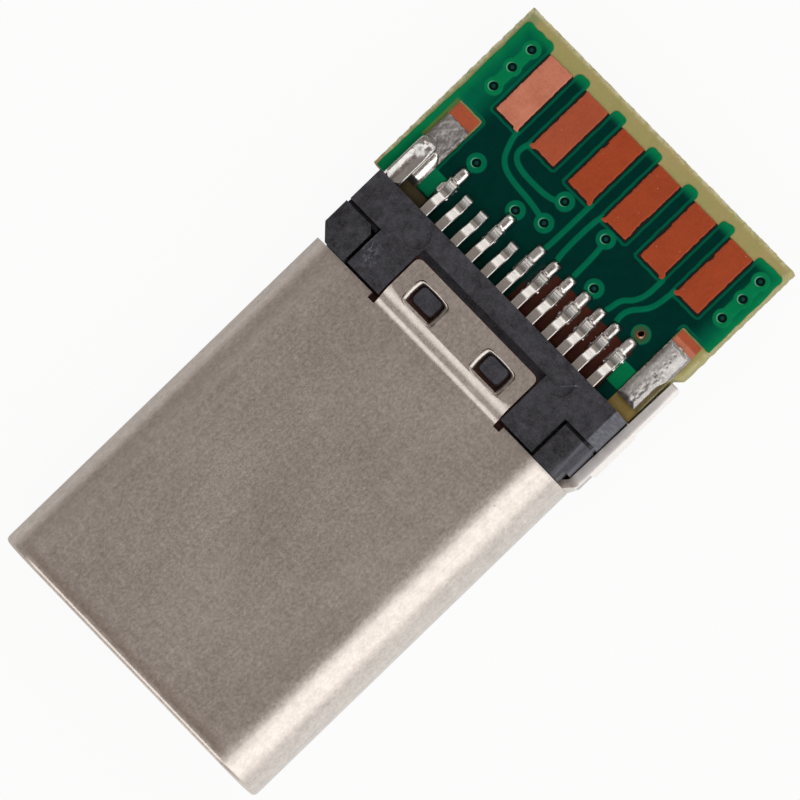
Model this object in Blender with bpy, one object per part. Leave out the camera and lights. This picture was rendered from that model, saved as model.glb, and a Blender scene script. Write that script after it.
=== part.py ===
"""A reversible twenty-four-position plug with its wire board, modelled piece by piece.

Plug frame while modelling: X across the mouth, +Y from the mouth to the wire end, +Z up, with
the mouth's centre at the origin. The empty at the end moves the whole plug so that the world's
origin is under the middle of it. Everything is in metres.
"""

import math

import bmesh
import bpy
from mathutils import Matrix

mm = 0.001

# Clearances between neighbouring pieces
fit_clearance = 0.02 * mm
seat_gap = 0.006 * mm
side_play = 0.055 * mm
side_gap = 0.05 * mm

# How far cutters run past what they cut, and joined shapes into each other
cutter_reach = 1.0 * mm
overlap = 0.3 * mm

# Drawn shell
shell_width = 8.25 * mm
shell_height = 2.40 * mm
shell_wall = 0.25 * mm
shell_length = 9.95 * mm
lip_radius = 0.12 * mm
inner_lip = 0.05 * mm

# Latch tab at the shell's rear edge, one above and one below
tab_width = 3.93 * mm
tab_reach = 1.33 * mm
tab_lift = 0.27 * mm
tab_bend_radius = 0.32 * mm
tab_corner = 0.15 * mm
tab_notch_width = 0.20 * mm
tab_notch_depth = 0.15 * mm
window_spacing = 2.19 * mm
window_width = 0.85 * mm
window_length = 0.63 * mm
window_corner = 0.12 * mm
window_setback = 0.27 * mm

# Side arm that runs from the shell along the board's right edge
arm_reach = 3.48 * mm
arm_offset = 0.10 * mm
arm_joggle = 0.30 * mm
arm_top = 0.45 * mm
arm_root_low = -0.25 * mm
arm_waist_low = -0.80 * mm
arm_tip_low = -0.35 * mm
arm_waist_start = 0.72 * mm
arm_waist_end = 1.98 * mm
arm_corner = 0.10 * mm

# Black block of the contact carriers behind the shell
block_start = 0.07 * mm
block_length = 2.03 * mm
block_rise = 0.25 * mm
block_left_inset = 0.085 * mm
block_right_inset = 0.185 * mm
block_chamfer_width = 0.20 * mm
block_chamfer_height = 0.60 * mm
block_neck_inset = 1.095 * mm
recess_clearance = 0.20 * mm
peg_width = 0.71 * mm
peg_length = 0.54 * mm
peg_corner = 0.10 * mm
peg_draft = 0.06 * mm
peg_proud = 0.0 * mm
gate_inset = 0.67 * mm
gate_radius = 0.33 * mm
gate_depth = 0.03 * mm
gate_setback = 0.46 * mm
comb_wall = 0.15 * mm

# Insulator that lines the shell and carries the ears
insulator_recess = 0.28 * mm
tongue_side_wall = 0.455 * mm
tongue_slot_height = 0.82 * mm
tongue_slot_depth = 5.40 * mm
slot_lead_in = 0.20 * mm
cavity_roof = 0.11 * mm
channel_play = 0.04 * mm
channel_start = 2.15 * mm
channel_roof = 0.04 * mm
ear_rise = 0.20 * mm
ear_left_inset = 0.035 * mm
ear_right_inset = 0.075 * mm
ear_length = 1.03 * mm
ear_heel_half = 0.30 * mm
ear_clearance = 0.09 * mm
ear_left_round = 0.10 * mm
ear_right_round = 0.47 * mm
ear_left_chamfer = 0.36 * mm
ear_right_chamfer = 0.14 * mm
ear_rear_chamfer = 0.16 * mm

# Contacts
contact_count = 12
contact_row_margin = 0.28 * mm
contact_gap = 0.26 * mm
contact_thickness = 0.13 * mm
contact_roof = 0.15 * mm
contact_tip = 2.35 * mm
contact_tip_lift = 0.035 * mm
contact_apex = 2.98 * mm
contact_apex_gap = 0.54 * mm
tail_flat = 0.30 * mm
tail_length = 1.01 * mm
tail_foot = 0.38 * mm
tail_flare = 0.10 * mm
missing_lower_contacts = (6, 7)

# Latch plate between the two carriers
plate_thickness = 0.20 * mm
plate_side_margin = 0.13 * mm
plate_setback = 0.40 * mm
latch_arm_width = 0.30 * mm
latch_arm_start = 2.20 * mm
latch_arm_root = 1.00 * mm
latch_hook_length = 0.45 * mm
latch_hook_reach = 0.24 * mm
latch_travel = 0.15 * mm
latch_arm_play = 0.06 * mm
wing_length = 0.30 * mm
wing_setback = 0.30 * mm
leg_width = 0.48 * mm
leg_reach = 1.44 * mm
leg_inset = 0.405 * mm
leg_bend_past = 0.12 * mm
leg_shift = -0.11 * mm

# Ground springs near the mouth
spring_thickness = 0.09 * mm
spring_side_margin = 0.925 * mm
spring_start = 0.62 * mm
spring_length = 1.32 * mm
spring_finger_count = 3
spring_side_strip = 0.37 * mm
spring_middle_strip = 0.69 * mm
spring_finger_play = 0.13 * mm
spring_opening_margin = 0.20 * mm
spring_contact_level = 0.36 * mm
spring_tip_lift = 0.16 * mm

# Wire board
board_overhang = 0.17 * mm
board_length = 5.13 * mm
board_thickness = 0.75 * mm
board_shift = -0.15 * mm
circuit_shift = -0.03 * mm
board_cut_length = 1.42 * mm
mask_thickness = 0.025 * mm
mask_margin_left = 0.16 * mm
mask_margin_right = 0.025 * mm
mask_margin_rear = 0.36 * mm
copper_thickness = 0.035 * mm
wire_pad_count = 6
wire_pad_margin = 1.3275 * mm
wire_pad_width = 0.70 * mm
wire_pad_length = 1.76 * mm
wire_pad_setback = 0.50 * mm
wire_pad_window = 0.05 * mm
finger_round = 0.10 * mm
ground_pad_inset = 0.625 * mm
ground_pad_width = 0.66 * mm
ground_pad_start = 0.32 * mm
ground_pad_length = 2.06 * mm
contact_window_start = 0.06 * mm
contact_window_end = 1.33 * mm
contact_window_side = 0.08 * mm
contact_pad_start = 0.30 * mm
contact_pad_end = 1.36 * mm
via_radius = 0.10 * mm
corner_via_inset = 0.53 * mm
corner_via_setbacks = (0.73 * mm, 1.32 * mm, 1.92 * mm)
signal_vias = (
    (-2.73 * mm, 1.70 * mm),
    (-1.34 * mm, 1.58 * mm),
    (-0.68 * mm, 2.54 * mm),
    (-0.68 * mm, 1.86 * mm),
    (0.62 * mm, 2.59 * mm),
    (1.23 * mm, 1.63 * mm),
    (2.76 * mm, 1.63 * mm),
)

# Solder
joint_dome = 0.13 * mm
soldered_upper = (1, 4, 6, 7, 8, 9, 10, 11, 12)
soldered_lower = (1, 4, 5, 9, 12)
ground_solder_height = 0.16 * mm
leg_solder_past = 0.62 * mm
leg_solder_height = 0.20 * mm
ground_solder_setback = 0.22 * mm
solder_draw_in = 0.16 * mm
solder_corner = 0.12 * mm

# Fineness of round work
round_steps = 14
corner_steps = 4
bend_steps = 6
via_sides = 10

# Places worked out from the sizes above
inner_height = shell_height - 2 * shell_wall
inner_width = shell_width - 2 * shell_wall
block_height = shell_height / 2 + block_rise
block_left = shell_width / 2 - block_left_inset
block_right = shell_width / 2 - block_right_inset
block_neck_half = shell_width / 2 - block_neck_inset
ear_half_height = shell_height / 2 + ear_rise
ear_left = shell_width / 2 - ear_left_inset
ear_right = shell_width / 2 - ear_right_inset
tongue_slot_width = inner_width - 2 * tongue_side_wall
cavity_half_height = inner_height / 2 - cavity_roof
channel_half_height = cavity_half_height - channel_roof
comb_start = tongue_slot_depth + comb_wall
plate_start = comb_start + plate_setback
contact_pitch = 2 * (block_neck_half - contact_row_margin) / (contact_count - 1)
contact_width = contact_pitch - contact_gap
channel_width = contact_width + 2 * channel_play
contact_level = cavity_half_height - contact_roof - contact_thickness / 2
plate_half_width = block_neck_half - plate_side_margin
spring_half_width = inner_width / 2 - spring_side_margin
spring_strips = 2 * spring_side_strip + (spring_finger_count - 1) * spring_middle_strip
spring_opening_width = (2 * spring_half_width - spring_strips) / spring_finger_count
spring_finger_pitch = spring_opening_width + spring_middle_strip
spring_finger_width = spring_opening_width - 2 * spring_finger_play
leg_spread = shell_width - 2 * leg_inset
board_width = shell_width + 2 * board_overhang
wire_pad_pitch = (board_width - 2 * wire_pad_margin) / (wire_pad_count - 1)
ground_pad_spread = board_width - 2 * ground_pad_inset
corner_via_spread = board_width - 2 * corner_via_inset
block_front = shell_length + block_start
block_rear = block_front + block_length
ear_front = shell_length + fit_clearance
ear_rear = ear_front + ear_length
ear_inner = block_neck_half + ear_clearance
bend_centre_radius = tab_bend_radius + shell_wall / 2
bend_angle = math.acos(1 - tab_lift / (2 * bend_centre_radius))
tab_root = shell_length - tab_notch_depth
tab_rear = shell_length + tab_reach
tab_top = shell_height / 2 + tab_lift
window_rear = tab_rear - window_setback
arm_rear = shell_length + arm_reach
arm_outer = shell_width / 2 + arm_offset
arm_inner = arm_outer - shell_wall
board_front = block_rear + fit_clearance
board_rear = board_front + board_length
board_left = board_shift - board_width / 2
board_right = board_shift + board_width / 2
board_top = board_thickness / 2
film_low = board_top + seat_gap
pad_top = film_low + copper_thickness
tail_end = block_rear + tail_length
tail_foot_level = pad_top + seat_gap + contact_thickness / 2
leg_level = pad_top + seat_gap + plate_thickness / 2
leg_rear = block_rear + leg_reach
plug_height = 2 * max(tab_top, block_height, ear_half_height)


def clear_scene():
    for thing in list(bpy.data.objects):
        bpy.data.objects.remove(thing, do_unlink=True)


def finish(name, colour, roughness, metallic):
    """A Principled material in one colour."""
    material = bpy.data.materials.new(name)
    material.use_nodes = True
    shader = material.node_tree.nodes["Principled BSDF"]
    shader.inputs["Base Color"].default_value = (*colour, 1.0)
    shader.inputs["Roughness"].default_value = roughness
    shader.inputs["Metallic"].default_value = metallic
    material.diffuse_color = (*colour, 1.0)
    return material


def new_object(name, shape, material=None):
    """An object from a bmesh, its faces turned outwards and its round faces shaded smooth."""
    bmesh.ops.recalc_face_normals(shape, faces=shape.faces)
    mesh = bpy.data.meshes.new(name)
    shape.to_mesh(mesh)
    shape.free()
    mesh.shade_smooth()
    mesh.set_sharp_from_angle(angle=math.radians(32))
    thing = bpy.data.objects.new(name, mesh)
    bpy.context.scene.collection.objects.link(thing)
    if material:
        mesh.materials.append(material)
    return thing


def helper(thing):
    """Hides a cutter or a joined shape from the finished model."""
    thing.hide_render = True
    thing.display_type = "WIRE"
    return thing


def combine(thing, other, operation):
    modifier = thing.modifiers.new(other.name, "BOOLEAN")
    modifier.operation = operation
    modifier.solver = "EXACT"
    modifier.object = helper(other)


def cut(thing, *others):
    for other in others:
        combine(thing, other, "DIFFERENCE")


def join(thing, *others):
    for other in others:
        combine(thing, other, "UNION")


def keep_inside(thing, other):
    combine(thing, other, "INTERSECT")


def settle(thing):
    """Applies the modifiers, so that the shape can be copied or mirrored."""
    bpy.context.view_layer.update()
    graph = bpy.context.evaluated_depsgraph_get()
    mesh = bpy.data.meshes.new_from_object(thing.evaluated_get(graph))
    thing.modifiers.clear()
    thing.data = mesh
    return thing


def mirrored(thing, name):
    """A copy of a settled piece, upside down about the plug's middle plane."""
    shape = bmesh.new()
    shape.from_mesh(thing.data)
    bmesh.ops.scale(shape, vec=(1, 1, -1), verts=shape.verts)
    return new_object(name, shape, thing.data.materials[0])


def add_prism(shape, outline, axis, low, high):
    """A closed outline carried straight along one axis, added to a bmesh."""
    place = {
        "X": lambda a, b, c: (c, a, b),
        "Y": lambda a, b, c: (a, c, b),
        "Z": lambda a, b, c: (a, b, c),
    }[axis]
    rings = [[shape.verts.new(place(a, b, c)) for a, b in outline] for c in (low, high)]
    shape.faces.new(rings[0][::-1])
    shape.faces.new(rings[1])
    for i in range(len(outline)):
        k = (i + 1) % len(outline)
        shape.faces.new((rings[0][i], rings[0][k], rings[1][k], rings[1][i]))


def prism(name, outline, axis, low, high, material=None):
    shape = bmesh.new()
    add_prism(shape, outline, axis, low, high)
    return new_object(name, shape, material)


def boxes(name, corners, material=None):
    """One object of separate boxes, each given by its low and high corner."""
    shape = bmesh.new()
    for low, high in corners:
        outline = rectangle(low[0], low[1], high[0], high[1])
        add_prism(shape, outline, "Z", low[2], high[2])
    return new_object(name, shape, material)


def loft(name, rings, material=None, closed=False):
    """Rings of equally many points joined in turn, capped at both ends unless it closes."""
    shape = bmesh.new()
    loops = [[shape.verts.new(point) for point in ring] for ring in rings]
    pairs = list(zip(loops, loops[1:] + loops[:1]))
    for first, second in pairs if closed else pairs[:-1]:
        for i in range(len(first)):
            k = (i + 1) % len(first)
            shape.faces.new((first[i], first[k], second[k], second[i]))
    bmesh.ops.triangulate(shape, faces=shape.faces)
    if not closed:
        shape.faces.new(loops[0][::-1])
        shape.faces.new(loops[-1])
    return new_object(name, shape, material)


def rectangle(x0, y0, x1, y1):
    return [(x0, y0), (x1, y0), (x1, y1), (x0, y1)]


def arc(centre, radius, start, end, steps):
    """Points along an arc, with its angles in degrees."""
    angles = [math.radians(start + (end - start) * i / steps) for i in range(steps + 1)]
    return [(centre[0] + radius * math.cos(a), centre[1] + radius * math.sin(a)) for a in angles]


def rounded_rectangle(x0, y0, x1, y1, radius):
    r = min(radius, (x1 - x0) * 0.49, (y1 - y0) * 0.49)
    return (
        arc((x1 - r, y0 + r), r, -90, 0, corner_steps)
        + arc((x1 - r, y1 - r), r, 0, 90, corner_steps)
        + arc((x0 + r, y1 - r), r, 90, 180, corner_steps)
        + arc((x0 + r, y0 + r), r, 180, 270, corner_steps)
    )


def stadium(width, height):
    """A flat oval with full-round ends."""
    r = height / 2
    c = width / 2 - r
    return arc((c, 0), r, -90, 90, round_steps) + arc((-c, 0), r, 90, 270, round_steps)


def strip(path, thickness):
    """The outline of a bent sheet, half its thickness on each side of its middle line."""
    above = []
    below = []
    for i, (a, b) in enumerate(path):
        before = path[max(i - 1, 0)]
        after = path[min(i + 1, len(path) - 1)]
        run = math.hypot(after[0] - before[0], after[1] - before[1])
        across = (-(after[1] - before[1]) / run, (after[0] - before[0]) / run)
        above.append((a + across[0] * thickness / 2, b + across[1] * thickness / 2))
        below.append((a - across[0] * thickness / 2, b - across[1] * thickness / 2))
    return above + below[::-1]


def bent_wire(knots, steps):
    """A middle line through (place, level, slope) knots, cubic between neighbours."""
    path = [knots[0][:2]]
    for (y0, z0, s0), (y1, z1, s1) in zip(knots, knots[1:]):
        run = y1 - y0
        straight = z0 == z1 and s0 == s1 == 0
        for i in range(1, 2 if straight else steps + 1):
            t = 1 if straight else i / steps
            level = (
                (2 * t**3 - 3 * t**2 + 1) * z0
                + (t**3 - 2 * t**2 + t) * run * s0
                + (3 * t**2 - 2 * t**3) * z1
                + (t**3 - t**2) * run * s1
            )
            path.append((y0 + run * t, level))
    return path


def flipped(outline, side):
    """The outline as it is above the middle plane, or upside down below it."""
    return [(a, side * b) for a, b in outline]


def span(low, high, side):
    return sorted((side * low, side * high))


def contact_places():
    first = -contact_pitch * (contact_count - 1) / 2
    return [first + contact_pitch * i for i in range(contact_count)]


def tab_path(rear):
    """The tab's middle line: flat, one arc up, one arc back to flat, then straight."""
    level = (shell_height - shell_wall) / 2
    turn = math.degrees(bend_angle)
    r = bend_centre_radius
    run = r * math.sin(bend_angle)
    first = arc((tab_root, level + r), r, -90, -90 + turn, bend_steps)
    second = arc((tab_root + 2 * run, level + tab_lift - r), r, 90 + turn, 90, bend_steps)
    start = tab_root - tab_notch_depth
    return [(start, level)] + first + second[1:] + [(rear, level + tab_lift)]


def window_centres():
    return (-window_spacing / 2, window_spacing / 2)


def shell_tube(material):
    """The drawn tube with its rounded lip, as ovals carried along the wall's section."""
    wall = [(shell_length, shell_wall), (inner_lip, shell_wall), (0, shell_wall - inner_lip)]
    wall += [
        (lip_radius + y, lip_radius + inset)
        for y, inset in arc((0, 0), lip_radius, 180, 270, corner_steps)
    ]
    wall += [(shell_length, 0)]
    rings = [
        [(x, y, z) for x, z in stadium(shell_width - 2 * inset, shell_height - 2 * inset)]
        for y, inset in wall
    ]
    return loft("shell", rings, material, closed=True)


def shell_tab(side):
    """One latch tab with its rounded rear corners."""
    half = tab_width / 2
    outline = flipped(strip(tab_path(tab_rear), shell_wall), side)
    tab = prism("tab", outline, "X", -half, half)
    front = tab_root - 2 * tab_notch_depth
    plan = [(-half, front), (half, front)]
    plan += arc((half - tab_corner, tab_rear - tab_corner), tab_corner, 0, 90, corner_steps)
    plan += arc((tab_corner - half, tab_rear - tab_corner), tab_corner, 90, 180, corner_steps)
    keep_inside(tab, helper(prism("tab_plan", plan, "Z", -plug_height, plug_height)))
    return helper(settle(tab))


def shell_arm():
    """The side arm: its wall leaves the shell's round side and flattens, offset outwards."""
    stations = [(-overlap, 0.0), (0.0, 0.0)]
    stations += [(arm_joggle * i / bend_steps, i / bend_steps) for i in range(1, bend_steps + 1)]
    stations += [(arm_reach + arm_corner, 1.0)]
    low = arm_waist_low - arm_corner / 2
    high = arm_top + arm_corner / 2
    levels = [low + (high - low) * i / bend_steps for i in range(bend_steps + 1)]
    round_centre = (shell_width - shell_height) / 2
    hidden = fit_clearance
    rings = []
    for reach, share in stations:
        blend = share * share * (3 - 2 * share)
        thin = hidden if reach <= 0 else 0.0
        outer = []
        inner = []
        for z in levels:
            curve = math.sqrt((shell_height / 2) ** 2 - z * z)
            curve_in = math.sqrt(max((inner_height / 2) ** 2 - z * z, 0))
            x_out = round_centre + curve + (arm_outer - round_centre - curve) * blend
            x_in = round_centre + curve_in + (arm_inner - round_centre - curve_in) * blend
            outer.append((x_out - thin, shell_length + reach, z))
            inner.append((x_in + thin, shell_length + reach, z))
        rings.append(outer + inner[::-1])
    arm = loft("arm", rings)
    root = shell_length - 2 * overlap
    waist_start = shell_length + arm_waist_start
    waist_end = shell_length + arm_waist_end
    slope = arm_corner
    side_view = [
        (root, arm_root_low),
        (waist_start - slope, arm_root_low),
        (waist_start, arm_root_low - slope),
        (waist_start, arm_waist_low + slope),
        (waist_start + slope, arm_waist_low),
        (waist_end, arm_waist_low),
        (waist_end + slope, arm_tip_low),
    ]
    side_view += arc((arm_rear - arm_corner, arm_tip_low + arm_corner), arm_corner, -90, 0, corner_steps)
    side_view += arc((arm_rear - arm_corner, arm_top - arm_corner), arm_corner, 0, 90, corner_steps)
    side_view += [(root, arm_top)]
    outline = prism("arm_outline", side_view, "X", shell_width / 4, shell_width)
    keep_inside(arm, helper(outline))
    return helper(settle(arm))


def build_shell(material):
    """The drawn shell with its two latch tabs and its side arm, one piece of sheet."""
    shell = shell_tube(material)
    half = tab_width / 2 + tab_notch_width
    reach = (half, shell_length + cutter_reach)
    for side in (1, -1):
        z0, z1 = span(inner_height / 4, shell_height, side)
        relief = boxes("tab_relief", [((-reach[0], tab_root, z0), (reach[0], reach[1], z1))])
        cut(shell, relief)
    join(shell, shell_tab(1), shell_tab(-1), shell_arm())
    for x in window_centres():
        outline = rounded_rectangle(
            x - window_width / 2,
            window_rear - window_length,
            x + window_width / 2,
            window_rear,
            window_corner,
        )
        cut(shell, prism("window", outline, "Z", -plug_height, plug_height))
    return shell


def ear_plan(sign, reach):
    """An ear seen from above. The left one has its front and rear corners cut off."""
    front = ear_left_chamfer if sign < 0 else ear_right_chamfer
    rear = ear_rear_chamfer if sign < 0 else fit_clearance
    points = [
        (ear_inner, ear_front),
        (reach - front, ear_front),
        (reach, ear_front + front),
        (reach, ear_rear),
        (ear_inner + rear, ear_rear),
        (ear_inner, ear_rear - rear),
    ]
    return [(sign * x, y) for x, y in points]


def tongue_slot():
    """The mouth's slot with a sloping lead-in, open to the front."""
    w = tongue_slot_width / 2
    h = tongue_slot_height / 2
    lead = slot_lead_in
    sections = [
        (insulator_recess - lead, lead * 1.2),
        (insulator_recess + lead, 0),
        (tongue_slot_depth, 0),
    ]
    rings = [
        [(x, y, z) for x, z in rectangle(-w - grow / 2, -h - grow / 2, w + grow / 2, h + grow / 2)]
        for y, grow in sections
    ]
    return loft("tongue_slot", rings)


def build_insulator(material):
    """The lining of the shell: tongue slot, contact channels, latch slots and rear ears."""
    width = inner_width - 2 * fit_clearance
    height = inner_height - 2 * fit_clearance
    joined = ear_front + min(overlap, ear_length / 2)
    body = prism("front_insulator", stadium(width, height), "Y", insulator_recess, joined, material)
    for sign, reach, rounding in ((1, ear_right, ear_right_round), (-1, ear_left, ear_left_round)):
        plan = ear_plan(sign, reach)
        ear = prism("ear", plan, "Z", -ear_half_height, ear_half_height)
        profile = rounded_rectangle(-reach, -ear_half_height, reach, ear_half_height, rounding)
        rear = ear_rear + cutter_reach
        keep_inside(ear, helper(prism("ear_profile", profile, "Y", ear_front - cutter_reach, rear)))
        join(body, helper(settle(ear)))
        x0, x1 = span(ear_inner + ear_rear_chamfer + fit_clearance, reach - fit_clearance, sign)
        heel_rear = ear_rear + ear_clearance - fit_clearance
        heel = ((x0, ear_rear - overlap, -ear_heel_half), (x1, heel_rear, ear_heel_half))
        join(body, helper(boxes("ear_heel", [heel])))
    cut(body, tongue_slot())
    cavity_end = ear_rear + cutter_reach
    tall = plug_height
    low = (-ear_inner, tongue_slot_depth - overlap / 3, -cavity_half_height)
    high = (ear_inner, cavity_end, cavity_half_height)
    cut(body, boxes("carrier_cavity", [(low, high)]))
    behind = [((-ear_inner, shell_length, -tall), (ear_inner, cavity_end, tall))]
    cut(body, boxes("behind_shell", behind))
    channels = []
    for x in contact_places():
        low = (x - channel_width / 2, channel_start, -channel_half_height)
        high = (x + channel_width / 2, tongue_slot_depth + overlap, channel_half_height)
        channels.append((low, high))
    cut(body, boxes("contact_channels", channels))
    slot_z = plate_thickness / 2 + fit_clearance
    slot_front = latch_arm_start - latch_travel
    inner = tongue_slot_width / 2 - side_gap
    outer = shell_width / 2 + cutter_reach
    root_front = plate_start - fit_clearance
    root_rear = plate_start + latch_arm_root + fit_clearance
    for sign in (1, -1):
        x0, x1 = sorted((sign * inner, sign * outer))
        cut(body, boxes("latch_slot", [((x0, slot_front, -slot_z), (x1, root_rear, slot_z))]))
        x0, x1 = sorted((sign * block_neck_half, sign * outer))
        cut(body, boxes("latch_root_slot", [((x0, root_front, -slot_z), (x1, root_rear, slot_z))]))
    low = arm_root_low - fit_clearance
    straight = (arm_inner - fit_clearance, shell_length, low)
    cut(body, boxes("arm_channel", [(straight, (shell_width, cavity_end, tall))]))
    waist_y = shell_length + arm_waist_start - fit_clearance
    waist = (arm_inner - fit_clearance, waist_y, arm_waist_low - fit_clearance)
    cut(body, boxes("arm_waist_channel", [(waist, (shell_width, cavity_end, tall))]))
    root = (inner_width / 2 - fit_clearance, shell_length, low)
    cut(body, boxes("arm_root_channel", [(root, (shell_width, shell_length + arm_joggle, tall))]))
    cut(body, *spring_recesses())
    return body


def spring_recesses():
    """Shallow seats for the two ground springs, with openings for their fingers."""
    found = []
    top = inner_height / 2 - fit_clearance
    floor = top - spring_thickness - fit_clearance
    rear = spring_start + spring_length + fit_clearance
    for side in (1, -1):
        z0, z1 = span(floor, top + cutter_reach / 4, side)
        half = spring_half_width + fit_clearance
        found.append(boxes("spring_seat", [((-half, spring_start - fit_clearance, z0), (half, rear, z1))]))
        z0, z1 = span(tongue_slot_height / 4, top + cutter_reach / 4, side)
        openings = []
        for x in finger_places():
            low = (x - spring_opening_width / 2, spring_start + spring_opening_margin, z0)
            high = (x + spring_opening_width / 2, rear - spring_opening_margin, z1)
            openings.append((low, high))
        found.append(boxes("finger_openings", openings))
    return found


def finger_places():
    first = -spring_finger_pitch * (spring_finger_count - 1) / 2
    return [first + spring_finger_pitch * i for i in range(spring_finger_count)]


def build_ground_spring(name, side, material):
    """A thin plate with fingers that dip into the tongue slot."""
    top = inner_height / 2 - fit_clearance
    z0, z1 = span(top - spring_thickness, top, side)
    rear = spring_start + spring_length
    half = spring_half_width
    plate = boxes(name, [((-half, spring_start, z0), (half, rear, z1))], material)
    openings = []
    for x in finger_places():
        low = (x - spring_opening_width / 2, spring_start + spring_opening_margin, -plug_height)
        high = (x + spring_opening_width / 2, rear - spring_opening_margin, plug_height)
        openings.append((low, high))
    cut(plate, boxes("spring_openings", openings))
    level = top - spring_thickness / 2
    start = spring_start + spring_opening_margin / 2
    run = spring_length - 2 * spring_opening_margin
    low = spring_contact_level + spring_thickness / 2
    knots = [
        (start, level, 0),
        (start + run * 0.15, level - spring_thickness / 4, -0.5),
        (start + run * 0.68, low, 0),
        (start + run * 0.98, low + spring_tip_lift, 1.0),
    ]
    outline = flipped(strip(bent_wire(knots, corner_steps), spring_thickness * 0.96), side)
    for x in finger_places():
        join(plate, prism("finger", outline, "X", x - spring_finger_width / 2, x + spring_finger_width / 2))
    return plate


def contact_path():
    """A contact's middle line: curled tip, spring beam, straight shank, footed tail."""
    apex = (contact_apex_gap + contact_thickness) / 2
    foot = tail_end - tail_foot
    knots = [
        (contact_tip, contact_level + contact_tip_lift, -0.75),
        (contact_apex, apex, 0),
        (contact_apex + (comb_start - contact_apex) * 0.5, (apex + contact_level) / 2, 0.16),
        (comb_start, contact_level, 0),
        (block_rear + tail_flat, contact_level, 0),
        (foot, tail_foot_level, 0),
        (tail_end, tail_foot_level + tail_flare, 0.7),
    ]
    return bent_wire(knots, bend_steps)


def build_contacts(material):
    outlines = {side: flipped(strip(contact_path(), contact_thickness), side) for side in (1, -1)}
    for side, row in ((1, "upper"), (-1, "lower")):
        for number, x in enumerate(contact_places(), 1):
            if side < 0 and number in missing_lower_contacts:
                continue
            name = f"{row}_contact_{number:02d}"
            prism(name, outlines[side], "X", x - contact_width / 2, x + contact_width / 2, material)


def carrier_plan():
    """The carrier's block seen from above: a neck between the ears, then its full width."""
    step = ear_rear + ear_clearance
    return [
        (-block_neck_half, block_front),
        (block_neck_half, block_front),
        (block_neck_half, step),
        (block_right, step),
        (block_right, block_rear),
        (-block_left, block_rear),
        (-block_left, step),
        (-block_neck_half, step),
    ]


def carrier_profile():
    """The carrier's block seen from behind, with its sloping shoulder beside the arm."""
    low = seat_gap
    return [
        (-block_left, low),
        (block_right, low),
        (block_right, block_height - block_chamfer_height),
        (block_right - block_chamfer_width, block_height),
        (-block_left, block_height),
    ]


def tab_recess():
    """The cutter for the tab's seat: it follows the tab's underside a clearance below it."""
    rear = tab_rear + recess_clearance
    bent = tab_path(rear)
    under = strip(bent, shell_wall + 2 * fit_clearance)[len(bent) :][::-1]
    under[-1] = (rear, under[-1][1])
    high = block_height + cutter_reach
    outline = under + [(rear, high), (under[0][0], high)]
    half = tab_width / 2 + side_play
    return prism("tab_recess", outline, "X", -half, half)


def recess_floor():
    return tab_top - shell_wall - fit_clearance


def latch_peg(x):
    """A peg with rounded corners and drafted sides that stands in a tab window."""
    centre = window_rear - window_length / 2
    rings = []
    for z, inset in ((recess_floor() - overlap / 3, 0), (tab_top + peg_proud, peg_draft)):
        w = peg_width / 2 - inset
        h = peg_length / 2 - inset
        outline = rounded_rectangle(x - w, centre - h, x + w, centre + h, peg_corner)
        rings.append([(a, b, z) for a, b in outline])
    return loft("latch_peg", rings)


def build_carriers(material):
    """The two halves that hold the contacts. The lower one is the upper one turned over."""
    carrier = prism("upper_contact_carrier", carrier_plan(), "Z", seat_gap, block_height, material)
    profile = prism("block_profile", carrier_profile(), "Y", block_front - cutter_reach, board_rear)
    keep_inside(carrier, helper(profile))
    comb_low = plate_thickness / 2 + fit_clearance
    comb_high = cavity_half_height - fit_clearance
    half = block_neck_half
    comb = boxes("comb", [((-half, comb_start, comb_low), (half, block_front + overlap, comb_high))])
    join(carrier, comb)
    cut(carrier, tab_recess())
    join(carrier, *[latch_peg(x) for x in window_centres()])
    gate_y = block_rear - gate_setback
    for sign in (1, -1):
        centre = (sign * (block_neck_half - gate_inset), gate_y)
        high = block_height + cutter_reach
        ring = arc(centre, gate_radius, 0, 360, 2 * round_steps)[:-1]
        cut(carrier, prism("gate_mark", ring, "Z", block_height - gate_depth, high))
    tunnels = []
    w = contact_width / 2 + fit_clearance / 2
    h = contact_thickness / 2 + fit_clearance / 2
    for x in contact_places():
        low = (x - w, comb_start - cutter_reach, contact_level - h)
        high = (x + w, block_rear + cutter_reach, contact_level + h)
        tunnels.append((low, high))
    cut(carrier, boxes("contact_tunnels", tunnels))
    seat_z = plate_thickness / 2 + fit_clearance
    seat_half = plate_half_width + fit_clearance
    wing_front = block_rear - wing_setback - wing_length - fit_clearance
    low = (-seat_half, comb_start - cutter_reach, -seat_z)
    cut(carrier, boxes("plate_seat", [(low, (seat_half, wing_front + overlap / 3, seat_z))]))
    low = (-block_left - cutter_reach, wing_front, -seat_z)
    cut(carrier, boxes("wing_seat", [(low, (block_right + cutter_reach, board_rear, seat_z))]))
    settle(carrier)
    lower = mirrored(carrier, "lower_contact_carrier")
    for piece, side in ((carrier, 1), (lower, -1)):
        x = leg_centre(side)
        w = leg_width / 2 + 2 * fit_clearance
        z0, z1 = span(0, leg_level + plate_thickness / 2 + fit_clearance, side)
        pocket = [((x - w, wing_front, z0), (x + w, board_rear, z1))]
        cut(piece, boxes("leg_pocket", pocket))
    return carrier, lower


def leg_centre(side):
    """The left leg rises to the board's top, the right one drops to its underside."""
    return leg_shift - side * leg_spread / 2


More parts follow.
